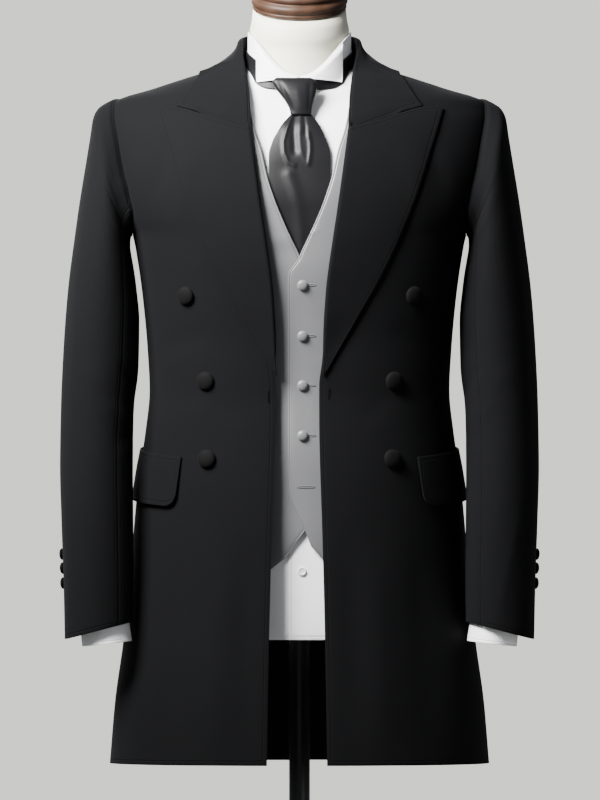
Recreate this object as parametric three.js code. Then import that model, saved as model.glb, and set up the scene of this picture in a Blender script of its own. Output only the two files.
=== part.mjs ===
// A morning suit worn by a limbless dress form: coat, waistcoat, shirt and tie.
// Millimetres, +Z up. The origin is the centre of the round base's underside.
// The front faces -Y, so the wearer's left is +X.
import * as THREE from 'three';
import { mergeVertices } from 'three/addons/utils/BufferGeometryUtils.js';

// Cloth thicknesses and the gap kept between pieces
const COAT_WALL = 2.2;
const WAISTCOAT_WALL = 1.6;
const SHIRT_WALL = 1;
const TIE_WALL = 2.4;
const GAP = 0.35;

// Heights of the pieces' ends
const COAT_HEM = 632;
const COAT_TOP = 1474;
const COAT_ARMPIT = 1265;
const COAT_SHOULDER = 1428;
const BREAK = 1098;
const GORGE = 1392;
const VENT_TOP = 1030;
const SHIRT_HEM = 782;
const TORSO_BOTTOM = 850;
const CAP_HEIGHT = 1536;
const CAP_TILT = THREE.MathUtils.degToRad(16);

// How far the form lies inside its pattern surface, and each layer's outer face stands off that
const FORM_EASE = 2.4;
const SHIRT_OUT = 3.6;
const WAISTCOAT_OUT = 8.2;
const TIE_ROOM = 4;

// The front edges
const GAP_CENTRE = -3;
const TOP_PANEL_EDGE = -13.5;
const PLACKET_EDGE = -13;
const VENT_LAP = 30;

// Angles from the middle over which a lapping edge settles from over or under its neighbour
const VENT_SETTLES = { from: 158, to: 170 };
const FRONT_SETTLES = { from: 9, to: 18 };

// The stand
const BASE_RADIUS = 190;
const BASE_HEIGHT = 12;
const POLE_RADIUS = 12.5;

// A table of named columns, read by a smooth curve through its rows.
function table(names, rows) {
  const read = (key, column) => {
    const last = rows.length - 1;
    const at = THREE.MathUtils.clamp(key, rows[0][0], rows[last][0]);
    let row = 0;
    while (row < last - 1 && at > rows[row + 1][0]) row += 1;
    const slope = (r) => {
      if (r <= 0 || r >= last) return null;
      const before = (rows[r][column] - rows[r - 1][column]) / (rows[r][0] - rows[r - 1][0]);
      const after = (rows[r + 1][column] - rows[r][column]) / (rows[r + 1][0] - rows[r][0]);
      return before * after <= 0 ? 0 : (2 * before * after) / (before + after);
    };
    const span = rows[row + 1][0] - rows[row][0];
    const mean = (rows[row + 1][column] - rows[row][column]) / span;
    const s0 = slope(row) ?? mean;
    const s1 = slope(row + 1) ?? mean;
    const t = (at - rows[row][0]) / span;
    return rows[row][column] * (2 * t ** 3 - 3 * t ** 2 + 1)
      + s0 * span * (t ** 3 - 2 * t ** 2 + t)
      + rows[row + 1][column] * (3 * t ** 2 - 2 * t ** 3)
      + s1 * span * (t ** 3 - t ** 2);
  };
  return (key) => Object.fromEntries(names.map((name, column) => [name, read(key, column)]));
}

// Level sections of the form. side: half width; front, back: depths from the line mid; square: roundness.
// The lowest row lies below the form and only shapes the shirt's tail.
const FORM = table(['z', 'side', 'front', 'back', 'mid', 'square'], [
  [780, 148, 96, 110, 8, 2.3],
  [850, 154, 100, 114, 8, 2.3],
  [920, 161, 104, 118, 8, 2.3],
  [1000, 153, 104, 110, 6, 2.3],
  [1080, 142, 100, 96, 4, 2.3],
  [1160, 150, 106, 98, 2, 2.3],
  [1240, 164, 115, 106, 0, 2.3],
  [1300, 176, 116, 110, 0, 2.3],
  [1350, 185, 108, 109, 0, 2.3],
  [1386, 191, 95, 105, 0, 2.25],
  [1400, 191, 87, 102, 0, 2.2],
  [1410, 187, 81, 99, 0, 2.15],
  [1418, 177, 76, 96, 0, 2.05],
  [1428, 158, 70, 92, -1, 1.9],
  [1436, 140, 65.5, 87, -2, 1.8],
  [1443, 118, 62.5, 81, -4, 1.7],
  [1449, 96, 60, 75, -6, 1.7],
  [1454, 80, 58, 69, -8, 1.75],
  [1459, 69, 56.5, 63, -10, 1.85],
  [1466, 61.5, 55.5, 58, -11, 1.95],
  [1476, 57, 55, 56, -12, 2],
  [1492, 56.4, 55, 55, -13, 2],
  [1503, 60.5, 57, 57, -13, 2],
  [1512, 62, 58, 58, -13, 2],
  [1524, 59.5, 56, 56, -14, 2],
  [1570, 56, 54, 54, -15, 2],
]);
const NECK_MID = -12;
const BAND = { radius: 62, wall: 1.2 };
const TIE_BAND = { radius: 64.3, wall: 1.8, clear: 1.2 };
const WING = { fold: 63.6, radius: 66, flare: 2.5 };
const WING_INNER = { x: 3, end: 1453.3 };
const WING_OUTER = { x: 52, end: 1448.4 };

// Level sections of the coat's outer face.
const COAT = table(['z', 'side', 'front', 'back', 'mid', 'square'], [
  [632, 228, 172, 168, 28, 2.3],
  [708, 221.5, 167, 161, 28, 2.3],
  [780, 211.5, 162, 154, 28, 2.3],
  [850, 204, 155, 147, 25, 2.3],
  [920, 198.5, 148, 139, 21, 2.3],
  [980, 192.5, 142, 128, 17, 2.35],
  [1030, 185, 134, 119, 12, 2.4],
  [1080, 180, 127, 113, 7, 2.4],
  [1130, 182.5, 127, 114, 4, 2.4],
  [1190, 188, 131, 119, 1, 2.4],
  [1240, 195, 135, 124, 0, 2.4],
  [1265, 200, 136, 126, 0, 2.4],
  [1284, 210, 135, 127, 0, 2.4],
  [1308, 219, 133, 128, 0, 2.4],
  [1342, 228, 127, 127, 0, 2.35],
  [1364, 231, 121, 125, 0, 2.3],
  [1386, 232, 112, 121, 0, 2.25],
  [1404, 230, 103, 117, 0, 2.2],
  [1418, 226, 94, 113, 0, 2.1],
  [1428, 219, 87, 109, 0, 2.05],
  [1433.5, 204, 83, 107, 0, 2],
  [1440, 180, 78, 103, 0, 2],
  [1447, 159, 72, 99, 0, 2],
  [1455, 134, 64, 93, 0, 2],
  [1463, 109, 55, 87, 0, 2],
  [1474, 85, 43, 76, 0, 2],
]);

// Armholes: how far the front and back panels' edges lie from the side line, by height.
const COAT_ARMHOLE = table(['z', 'front', 'back'], [
  [1265, 0, 0],
  [1272, 38, 38],
  [1284, 54, 53],
  [1300, 62, 59],
  [1320, 62, 58],
  [1342, 58, 54],
  [1364, 52, 47],
  [1386, 43, 38],
  [1404, 31, 28],
  [1418, 18, 16],
  [1428, 0, 0],
]);
const SHIRT_ARMHOLE = table(['z', 'front', 'back'], [
  [1282, 0, 0],
  [1285, 21, 21],
  [1292, 36, 36],
  [1304, 48, 47],
  [1324, 52, 50],
  [1350, 48, 46],
  [1376, 38, 36],
  [1398, 22, 20],
  [1412, 0, 0],
]);
const WAISTCOAT_ARMHOLE = table(['z', 'front', 'back'], [
  [1250, 0, 0],
  [1253, 24, 24],
  [1260, 44, 44],
  [1280, 66, 64],
  [1310, 76, 72],
  [1345, 74, 70],
  [1380, 62, 60],
  [1405, 46, 48],
  [1424, 28, 30],
  [1438, 0, 0],
]);

// The coat's front edge and roll line, from the hem to the neck.
const FRONT_EDGE = table(['z', 'x'], [
  [632, 36],
  [756, 34],
  [900, 30.5],
  [1050, 26.5],
  [1086, 26.5],
  [1114, 30],
  [1165, 33],
  [1205, 36],
  [1260, 43.5],
  [1296, 49],
  [1361, 58],
  [1397, 62.5],
  [1452, 67.5],
  [1474, 77],
]);

// The lapel's outer edge, by its share of the way from the break to the peak.
const LAPEL_EDGE = table(['share', 'x', 'z'], [
  [0, 33, 1104],
  [0.17, 70, 1168],
  [0.36, 101, 1224],
  [0.58, 130, 1290],
  [0.78, 149, 1344],
  [1, 171, 1416],
]);
const LAPEL_BULGE = 3.5;
const LAPEL_CLEAR = 1.9;
const COLLAR_CLEAR = 1.6;
const GORGE_RISE = 58;

// Collar sections, from the centre back round to the gorge end, along a share of its length.
// fold: top of the roll; edge: outer edge; stand: depth of the inner leaf; hollow: how far the fall sinks.
const COLLAR = table(['share', 'foldX', 'foldY', 'foldZ', 'edgeX', 'edgeZ', 'edgeBack', 'stand', 'hollow'], [
  [0, 0, 62, 1506, 0, 1456, 1, 36, 0],
  [0.22, 41, 48, 1506, 56, 1455, 1, 34, 2],
  [0.4, 65, 21, 1504, 98, 1458, 1, 30, 6],
  [0.52, 70.5, -4, 1500, 106, 1464, 0, 25, 7.5],
  [0.62, 71, -26, 1489, 116, 1458, -1, 17, 7],
  [0.74, 67.5, -46, 1469, 128, 1444, -1, 8, 3],
  [0.87, 62.5, -82, 1432, 138, 1429, -1, 4, 0],
  [1, 61, -109, 1394, 146, 1418.5, -1, 4, 0],
]);

// Sleeve sections, from the shoulder to the cuff. outer and inner: the ends of the section's width.
// depth: half its depth; mid: how far back its middle lies; round: how far it has left the armhole's form.
const SLEEVE = table(['ring', 'outerX', 'outerZ', 'innerX', 'innerZ', 'depth', 'mid', 'round'], [
  [0, 219, 1428, 200, 1265, 62, 0, 0],
  [1, 228.5, 1425.5, 202.4, 1262, 67, 0, 0.2],
  [2, 240.5, 1419, 203.2, 1256.5, 71, 0, 0.5],
  [3, 247.5, 1407, 202.8, 1250, 74, 0, 0.8],
  [4, 251.5, 1382, 201.8, 1243, 77, -1, 1],
  [5, 257, 1348, 200.2, 1234, 79, -2, 1],
  [6, 263.5, 1308, 197.8, 1220, 79, -4, 1],
  [7, 270, 1262, 195, 1198, 77, -7, 1],
  [8, 278, 1198, 192, 1162, 73, -11, 1],
  [9, 283, 1130, 192.8, 1110, 68, -17, 1],
  [10, 286, 1060, 198.8, 1048, 64, -24, 1],
  [11, 287, 990, 199.5, 984, 60, -34, 1],
  [12, 285, 920, 199, 918, 56, -43, 1],
  [13, 282.5, 850, 198.5, 856, 52, -49, 1],
  [14, 281, 782, 199, 803, 50, -53, 1],
]);
const SLEEVE_RINGS = 14;
const SLEEVE_COLUMNS = 20;
const HIND_SEAM = 17;
const FORE_SEAM = 7;

// Broad soft folds of the coat's skirt behind, by angle round the body.
const SKIRT_FOLDS = [
  { angle: 118, width: 9, depth: 5 },
  { angle: 137, width: 8, depth: -5 },
  { angle: 155, width: 9, depth: 6 },
];
const SKIRT_FOLD_TOP = 1010;

// Pocket flap corners on the coat: front edge as a width from the centre, back edge as an angle.
const FLAP = {
  topFront: { x: 140, z: 1000 },
  bottomFront: { x: 147, z: 940 },
  topBack: { angle: 108, z: 1013 },
  bottomBack: { angle: 107, z: 952 },
  liftTop: 2.6,
  liftBottom: 5.4,
  corner: 12,
};

// Buttons: places on the front, in rows from the top
const COAT_BUTTONS = [
  { x: 135, z: 1193, out: 0.8 },
  { x: 112, z: 1091, out: -0.05 },
  { x: 110, z: 998, out: 0.8 },
];
const WAISTCOAT_BUTTONS = [1207, 1146, 1086, 1025];
const CUFF_BUTTONS = [13.02, 12.76, 12.52];
const WAISTCOAT_BUTTON_X = 3.5;
const SHIRT_BUTTON = { x: 3, z: 864 };

const MATERIALS = {
  coat: { color: 0x16171b, roughness: 0.92, metalness: 0 },
  coatButton: { color: 0x101114, roughness: 0.8, metalness: 0 },
  satin: { color: 0x8d8e93, roughness: 0.45, metalness: 0 },
  shirt: { color: 0xeff0f2, roughness: 0.8, metalness: 0 },
  tie: { color: 0x0c0c0e, roughness: 0.3, metalness: 0 },
  form: { color: 0xe2dfcf, roughness: 0.7, metalness: 0 },
  wood: { color: 0x5b3726, roughness: 0.35, metalness: 0 },
  steel: { color: 0x1a1a1b, roughness: 0.4, metalness: 0.8 },
};

const suit = new THREE.Group();

function add(name, geometry, material) {
  const mesh = new THREE.Mesh(geometry, new THREE.MeshStandardMaterial(MATERIALS[material]));
  mesh.name = name;
  suit.add(mesh);
  return mesh;
}

// A ramp from 0 at low to 1 at high, level at both ends.
const ramp = (value, low, high) => THREE.MathUtils.smoothstep(value, low, high);
const mix = THREE.MathUtils.lerp;
const steps = (count) => Array.from({ length: count + 1 }, (_, i) => i / count);

// The point of a body at an angle round it: 0 front, 90 its left side, 180 back.
function bodyPoint(body, angle, z) {
  const s = body(z);
  const turn = THREE.MathUtils.degToRad(angle);
  const power = 2 / s.square;
  const across = Math.sign(Math.sin(turn)) * Math.abs(Math.sin(turn)) ** power;
  const along = Math.sign(Math.cos(turn)) * Math.abs(Math.cos(turn)) ** power;
  return new THREE.Vector3(s.side * across, s.mid - along * (along > 0 ? s.front : s.back), z);
}

// The outward direction there, square to the surface.
function bodyNormal(body, angle, z) {
  const turn = 1.5;
  const rise = 1.5;
  const round = bodyPoint(body, angle + turn, z).sub(bodyPoint(body, angle - turn, z));
  const up = bodyPoint(body, angle, z + rise).sub(bodyPoint(body, angle, z - rise));
  return round.cross(up).normalize();
}

// A vertex of a wall: its outer point and outward direction.
function onBody(body, angle, z, out = 0) {
  const normal = bodyNormal(body, angle, z);
  return { point: bodyPoint(body, angle, z).addScaledVector(normal, out), normal };
}

// The angle at which a body is x wide of its centre, in front or behind.
function angleAtWidth(body, x, z, behind = false) {
  const s = body(z);
  const share = THREE.MathUtils.clamp(Math.abs(x) / s.side, 0, 1) ** (s.square / 2);
  const angle = THREE.MathUtils.radToDeg(Math.asin(share)) * Math.sign(x);
  return behind ? 180 - angle : angle;
}

// The angle at which a body's surface is a given depth before or behind its side line.
function angleAtDepth(body, depth, z, behind = false) {
  const s = body(z);
  const share = (Math.abs(depth) / (behind ? s.back : s.front)) ** (s.square / 2);
  const angle = THREE.MathUtils.radToDeg(Math.acos(THREE.MathUtils.clamp(share, 0, 1)));
  return behind ? 180 - angle : angle;
}

// Outward directions of a grid of points, by its neighbours; around joins the last column to the first.
function gridNormals(points, around, flip) {
  const rows = points.length;
  const columns = points[0].length;
  return points.map((row, r) => row.map((_, c) => {
    const up = points[Math.min(r + 1, rows - 1)][c].clone().sub(points[Math.max(r - 1, 0)][c]);
    const next = around ? (c + 1) % columns : Math.min(c + 1, columns - 1);
    const before = around ? (c + columns - 1) % columns : Math.max(c - 1, 0);
    const round = row[next].clone().sub(row[before]);
    const normal = round.cross(up).normalize();
    return flip ? normal.negate() : normal;
  }));
}

// A closed wall of cloth: the grid's points are its outer face, and it is thick inwards.
function wall(grid, thickness, around = false) {
  const rows = grid.length;
  const columns = grid[0].length;
  const positions = [];
  const push = (p) => positions.push(p.x, p.y, p.z);
  grid.forEach((row) => row.forEach((v) => push(v.point)));
  grid.forEach((row) => row.forEach((v) => push(v.point.clone().addScaledVector(v.normal, -thickness))));
  const inner = rows * columns;
  const at = (r, c) => r * columns + (c % columns);
  const faces = [];
  const place = (i) => grid[Math.floor(i / columns)][i % columns].point;
  const shorter = (a, b, c, d) => place(a).distanceTo(place(c)) <= place(b).distanceTo(place(d));
  const quad = (a, b, c, d) => faces.push(a, b, c, a, c, d);
  const lastColumn = around ? columns : columns - 1;
  for (let r = 0; r < rows - 1; r += 1) {
    for (let c = 0; c < lastColumn; c += 1) {
      const corners = [at(r, c), at(r, c + 1), at(r + 1, c + 1), at(r + 1, c)];
      if (!shorter(...corners)) corners.push(corners.shift());
      quad(...corners);
      quad(...corners.map((i) => i + inner).reverse());
    }
  }
  for (let c = 0; c < lastColumn; c += 1) {
    quad(at(0, c), inner + at(0, c), inner + at(0, c + 1), at(0, c + 1));
    quad(at(rows - 1, c), at(rows - 1, c + 1), inner + at(rows - 1, c + 1), inner + at(rows - 1, c));
  }
  if (!around) {
    for (let r = 0; r < rows - 1; r += 1) {
      quad(at(r, 0), at(r + 1, 0), inner + at(r + 1, 0), inner + at(r, 0));
      const c = columns - 1;
      quad(at(r, c), inner + at(r, c), inner + at(r + 1, c), at(r + 1, c));
    }
  }
  return facingOut(positions, faces);
}

// A solid skin over rings of points, closed by a fan at each end.
function skin(rings) {
  const count = rings[0].length;
  const positions = [];
  rings.forEach((ring) => ring.forEach((p) => positions.push(p.x, p.y, p.z)));
  const faces = [];
  for (let r = 0; r < rings.length - 1; r += 1) {
    for (let c = 0; c < count; c += 1) {
      const a = r * count + c;
      const b = r * count + ((c + 1) % count);
      faces.push(a, b, b + count, a, b + count, a + count);
    }
  }
  [0, rings.length - 1].forEach((r) => {
    const middle = new THREE.Vector3();
    rings[r].forEach((p) => middle.addScaledVector(p, 1 / count));
    const hub = positions.length / 3;
    positions.push(middle.x, middle.y, middle.z);
    for (let c = 0; c < count; c += 1) {
      const a = r * count + c;
      const b = r * count + ((c + 1) % count);
      if (r === 0) faces.push(a, hub, b);
      else faces.push(b, hub, a);
    }
  });
  return facingOut(positions, faces);
}

// A geometry whose faces are turned so that it holds a positive volume.
function facingOut(positions, faces) {
  const vertex = (i) => new THREE.Vector3().fromArray(positions, 3 * i);
  let volume = 0;
  for (let i = 0; i < faces.length; i += 3) {
    volume += vertex(faces[i]).dot(vertex(faces[i + 1]).cross(vertex(faces[i + 2])));
  }
  if (volume < 0) faces.reverse();
  const geometry = new THREE.BufferGeometry();
  geometry.setAttribute('position', new THREE.Float32BufferAttribute(positions, 3));
  geometry.setIndex(faces);
  return geometry;
}

// A three.js shape with its shared points joined and its empty faces dropped.
function joined(source) {
  const geometry = source.clone();
  geometry.deleteAttribute('normal');
  geometry.deleteAttribute('uv');
  const merged = mergeVertices(geometry, 1e-3);
  const index = Array.from(merged.index.array);
  const faces = [];
  for (let i = 0; i < index.length; i += 3) {
    const [a, b, c] = index.slice(i, i + 3);
    if (a !== b && b !== c && a !== c) faces.push(a, b, c);
  }
  return facingOut(Array.from(merged.attributes.position.array), faces);
}

const mirrored = (grid) => grid.map((row) => row.map(({ point, normal }) => ({
  point: new THREE.Vector3(-point.x, point.y, point.z),
  normal: new THREE.Vector3(-normal.x, normal.y, normal.z),
})));

// Rows of a panel: at each height, columns from its inner to its outer angle.
function panel({ body, heights, columns, from, to, out }) {
  return heights.map((z) => steps(columns).map((share) => {
    const angle = mix(from(z), to(z), share);
    return onBody(body, angle, z, out(angle, z));
  }));
}

// A panel's side limit: the seam at the side or shoulder, or the armhole's edge.
function sideLimit(body, armhole, low, high, behind) {
  return (z) => {
    const inArmhole = z > low && z < high;
    const depth = inArmhole ? Math.max(armhole(z)[behind ? 'back' : 'front'], GAP / 2) : GAP / 2;
    return angleAtDepth(body, depth, z, behind);
  };
}

// How far the skirt's folds move the coat's surface out.
function skirtFold(angle, z) {
  const grown = ramp(SKIRT_FOLD_TOP - z, 0, SKIRT_FOLD_TOP - COAT_HEM);
  const away = (fold) => (Math.abs(angle) - fold.angle) / fold.width;
  return grown * SKIRT_FOLDS.reduce((sum, fold) => sum + fold.depth * Math.exp(-(away(fold) ** 2)), 0);
}

const ARMHOLE_ROWS = [1265, 1272, 1284, 1300, 1320, 1342, 1364, 1386, 1404, 1418, 1428];
const COAT_ROWS = [
  COAT_HEM, 708, 785, 855, 915, 965, 1004, 1040, 1080, 1125, 1175, 1225,
  ...ARMHOLE_ROWS,
  1433.5, 1440, 1447, 1455, 1463, COAT_TOP,
];

// The coat's front panels, from the front edge to the side seam, armhole and shoulder seam.
function coatFronts() {
  const sides = { coat_front_left: 1, coat_front_right: -1 };
  Object.entries(sides).forEach(([name, sign]) => {
    const grid = panel({
      body: COAT,
      heights: COAT_ROWS,
      columns: 7,
      from: (z) => angleAtWidth(COAT, FRONT_EDGE(z).x + sign * GAP_CENTRE * ramp(BREAK - z, -250, 0), z),
      to: sideLimit(COAT, COAT_ARMHOLE, COAT_ARMPIT, COAT_SHOULDER, false),
      out: skirtFold,
    });
    add(name, wall(sign > 0 ? grid : mirrored(grid), COAT_WALL), 'coat');
  });
}

// The back panels meet in a centre seam. Below the waist the left laps over the right as a vent.
function coatBacks() {
  const raised = (z) => ramp(VENT_TOP - z, -45, -10);
  const lap = (z) => ramp(VENT_TOP - z, 5, 30);
  const limit = sideLimit(COAT, COAT_ARMHOLE, COAT_ARMPIT, COAT_SHOULDER, true);
  const back = ({ edge, second, third, out }) => COAT_ROWS.map((z) => {
    const angles = [edge(z), second(z), ...steps(6).map((share) => mix(third(z), limit(z), share))];
    return angles.map((angle) => {
      const lapped = out * raised(z) * ramp(angle, VENT_SETTLES.from, VENT_SETTLES.to);
      return onBody(COAT, angle, z, skirtFold(angle, z) + lapped);
    });
  });
  const left = back({
    edge: (z) => angleAtWidth(COAT, GAP / 2 - VENT_LAP * lap(z), z, true),
    second: (z) => mix(175, 180, lap(z)),
    third: (z) => mix(166, 171, lap(z)),
    out: COAT_WALL + GAP,
  });
  const right = back({
    edge: (z) => angleAtWidth(COAT, GAP / 2, z, true),
    second: () => 175,
    third: () => 166,
    out: -0.8,
  });
  add('coat_back_left', wall(left, COAT_WALL), 'coat');
  add('coat_back_right', wall(mirrored(right), COAT_WALL), 'coat');
}

// A point of the coat's front, x wide and z high, moved out.
const onCoatFront = (x, z, out) => onBody(COAT, angleAtWidth(COAT, x, z), z, out);

// Peaked lapels lie on the fronts, from the roll line to the outer edge, with a soft roll.
function lapels() {
  const grid = steps(11).map((share) => {
    const rollZ = mix(BREAK, GORGE, share);
    const edge = LAPEL_EDGE(share);
    const rollX = FRONT_EDGE(rollZ).x - 0.6;
    return steps(6).map((across) => {
      const x = mix(rollX, edge.x, across);
      const rise = GORGE_RISE * across ** 3 * (1 - across) * ramp(share, 0.82, 1);
      const z = mix(rollZ, edge.z, across) + rise;
      const bulge = LAPEL_BULGE * (1 - across) ** 2 * ramp(share, 0, 0.25);
      return onCoatFront(x, z, COAT_WALL + LAPEL_CLEAR + bulge);
    });
  });
  add('coat_lapel_left', wall(grid, COAT_WALL), 'coat');
  add('coat_lapel_right', wall(mirrored(grid), COAT_WALL), 'coat');
}

// A point moved straight out until it stands a given distance off the coat.
function clearOfCoat(point, out) {
  const moved = point.clone();
  for (let pass = 0; pass < 3; pass += 1) {
    if (moved.z > COAT_TOP) return moved;
    const behind = moved.y > COAT(moved.z).mid;
    const near = onBody(COAT, angleAtWidth(COAT, moved.x, moved.z, behind), moved.z);
    const distance = moved.clone().sub(near.point).dot(near.normal);
    if (distance < out) moved.addScaledVector(near.normal, out - distance);
  }
  return moved;
}

// One section of the collar: up the inner leaf, over the fold and down the fall to its edge.
function collarSection(share) {
  const c = COLLAR(Math.abs(share));
  const behind = c.edgeBack > 0;
  const flat = angleAtWidth(COAT, c.edgeX, c.edgeZ, behind);
  const angle = mix(90, flat, Math.min(1, Math.abs(c.edgeBack)));
  const out = COAT_WALL + COLLAR_CLEAR;
  const edge = onBody(COAT, angle, c.edgeZ, out);
  const fold = clearOfCoat(new THREE.Vector3(c.foldX, c.foldY, c.foldZ), out);
  const away = edge.point.clone().sub(fold).setZ(0).normalize();
  const up = new THREE.Vector3(0, 0, 1);
  const inner = fold.clone().addScaledVector(away, -3);
  const top = fold.clone().addScaledVector(away, 3.4).addScaledVector(up, -2.2);
  const fall = (way, sunk, bulge) => clearOfCoat(
    top.clone().lerp(edge.point, way).addScaledVector(away, -sunk * c.hollow),
    out + bulge,
  );
  const points = [
    inner.clone().addScaledVector(up, -c.stand),
    inner.clone().addScaledVector(up, -2.5),
    fold.clone(),
    clearOfCoat(top, out + 1),
    fall(0.35, 1, 1.2),
    fall(0.7, 0.85, 0.6),
    edge.point,
  ];
  if (share < 0) points.forEach((p) => { p.x *= -1; });
  return points;
}

// The collar runs round the neck, from gorge end to gorge end.
function collar() {
  const sections = steps(22).map((t) => collarSection(mix(-1, 1, t)));
  const rows = sections[0].map((_, r) => sections.map((section) => section[r]));
  const normals = gridNormals(rows, false, false);
  const grid = rows.map((row, r) => row.map((point, c) => ({ point, normal: normals[r][c] })));
  add('coat_collar', wall(grid, COAT_WALL), 'coat');
}

// A sleeve's section, by its ring and column. armhole holds the ring that it is sewn to.
function sleeveRing(ring, armhole, shrink = 0) {
  const s = SLEEVE(ring);
  const start = SLEEVE(0);
  const outer = new THREE.Vector3(s.outerX, s.mid, s.outerZ);
  const inner = new THREE.Vector3(s.innerX, s.mid, s.innerZ);
  const middle = outer.clone().add(inner).multiplyScalar(0.5);
  const half = outer.distanceTo(inner) / 2 - shrink;
  const across = outer.clone().sub(inner).normalize();
  const along = new THREE.Vector3(0, -1, 0);
  const startOuter = new THREE.Vector3(start.outerX, start.mid, start.outerZ);
  const startInner = new THREE.Vector3(start.innerX, start.mid, start.innerZ);
  const startMiddle = startOuter.clone().add(startInner).multiplyScalar(0.5);
  const startHalf = startOuter.distanceTo(startInner) / 2;
  const startAcross = startOuter.clone().sub(startInner).normalize();
  const startForward = startAcross.clone().cross(along);
  const forward = across.clone().cross(along);
  return Array.from({ length: SLEEVE_COLUMNS }, (_, column) => {
    const turn = (2 * Math.PI * column) / SLEEVE_COLUMNS;
    const local = armhole[column].clone().sub(startMiddle);
    const u = mix((local.dot(startAcross) * half) / startHalf, half * Math.cos(turn), s.round);
    const depth = s.depth - shrink;
    const v = mix((local.dot(along) * depth) / start.depth, depth * Math.sin(turn), s.round);
    const w = mix(local.dot(startForward), 0, s.round);
    return middle.clone().addScaledVector(across, u).addScaledVector(along, v)
      .addScaledVector(forward, w);
  });
}

// The edge of an armhole as a ring: down the front from the shoulder, then up the back.
function armholeRing(body, armhole, rows, out, lap) {
  const down = [...rows].reverse();
  const edge = (z, behind) => {
    const depth = armhole(z)[behind ? 'back' : 'front'];
    const angle = angleAtDepth(body, depth + (depth > 1 ? lap : 0), z, behind);
    return onBody(body, angle, z, out);
  };
  return [
    ...down.map((z) => edge(z, false)),
    ...rows.slice(1, -1).map((z) => edge(z, true)),
  ];
}

// A sleeve's grid: its first ring stands on the body's surface, clear of it by the gap.
function sleeveGrid(seam, rings, thickness, clear) {
  const points = [seam.map((v) => v.point.clone()), ...rings];
  const normals = gridNormals(points, true, true);
  seam.forEach(({ point, normal }, c) => {
    const facing = normals[0][c];
    const lift = clear + (thickness / 2) * Math.abs(facing.dot(normal));
    points[0][c] = point.clone().addScaledVector(normal, lift).addScaledVector(facing, thickness / 2);
  });
  const settled = gridNormals(points, true, true);
  return points.map((row, r) => row.map((point, c) => ({
    point,
    normal: r === 0 ? normals[0][c] : settled[r][c],
  })));
}

const COAT_SEAM = armholeRing(COAT, COAT_ARMHOLE, ARMHOLE_ROWS, 0, 2.5);
const COAT_SEAM_POINTS = COAT_SEAM.map((v) => v.point);

// The columns of a ring from one seam to the other, each edge drawn back by half the gap.
function half(row, first, last) {
  const count = row.length;
  const picked = [];
  for (let c = first; c <= last; c += 1) {
    const { point, normal } = row[c % count];
    picked.push({ point: point.clone(), normal: normal.clone() });
  }
  const draw = (end, next) => {
    const way = next.point.clone().sub(end.point).normalize();
    end.point.addScaledVector(way, GAP / 2);
  };
  draw(picked[0], picked[1]);
  draw(picked[picked.length - 1], picked[picked.length - 2]);
  return picked;
}

// Two-piece sleeves: the top sleeve lies outside and in front, the under sleeve inside and behind.
function coatSleeves() {
  const rings = [];
  for (let ring = 1; ring <= SLEEVE_RINGS; ring += 1) rings.push(sleeveRing(ring, COAT_SEAM_POINTS));
  const grid = sleeveGrid(COAT_SEAM, rings, COAT_WALL, 2 * GAP);
  const top = grid.map((row) => half(row, HIND_SEAM, SLEEVE_COLUMNS + FORE_SEAM));
  const under = grid.map((row) => half(row, FORE_SEAM, HIND_SEAM));
  add('coat_top_sleeve_left', wall(top, COAT_WALL), 'coat');
  add('coat_under_sleeve_left', wall(under, COAT_WALL), 'coat');
  add('coat_top_sleeve_right', wall(mirrored(top), COAT_WALL), 'coat');
  add('coat_under_sleeve_right', wall(mirrored(under), COAT_WALL), 'coat');
}

// Pocket flaps hang over the hips, from the front round past the side, with rounded lower corners.
function flaps() {
  const front = (z) => {
    const share = (FLAP.topFront.z - z) / (FLAP.topFront.z - FLAP.bottomFront.z);
    return angleAtWidth(COAT, mix(FLAP.topFront.x, FLAP.bottomFront.x, share), z);
  };
  const grid = steps(6).map((down) => steps(9).map((across) => {
    const top = mix(FLAP.topFront.z, FLAP.topBack.z, across);
    const bottom = mix(FLAP.bottomFront.z, FLAP.bottomBack.z, across);
    const end = Math.max(0, Math.abs(across - 0.5) * 2 - 0.82) / 0.18;
    const rounded = FLAP.corner * (1 - Math.sqrt(Math.max(0, 1 - end ** 2)));
    const z = mix(bottom + rounded, top, down);
    const back = mix(FLAP.bottomBack.angle, FLAP.topBack.angle, down);
    const angle = mix(front(z), back, across);
    return onBody(COAT, angle, z, mix(FLAP.liftBottom, FLAP.liftTop, down) + 0.4);
  }));
  add('coat_flap_left', wall(grid, COAT_WALL), 'coat');
  add('coat_flap_right', wall(mirrored(grid), COAT_WALL), 'coat');
}

// A covered button: a dome with a rounded rim and a flat back, its axis along the given direction.
function button(name, vertex, radius, height, material, sides = 10) {
  const profile = [[0, 0], [0.72, 0], [1, 0.34], [0.78, 0.78], [0, 1]]
    .map(([r, h]) => new THREE.Vector2(r * radius, h * height));
  const dome = joined(new THREE.LatheGeometry(profile, sides));
  const turn = new THREE.Quaternion().setFromUnitVectors(new THREE.Vector3(0, 1, 0), vertex.normal);
  const mesh = add(name, dome, material);
  mesh.quaternion.copy(turn);
  mesh.position.copy(vertex.point);
}

const flipped = ({ point, normal }) => mirrored([[{ point, normal }]])[0][0];

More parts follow.
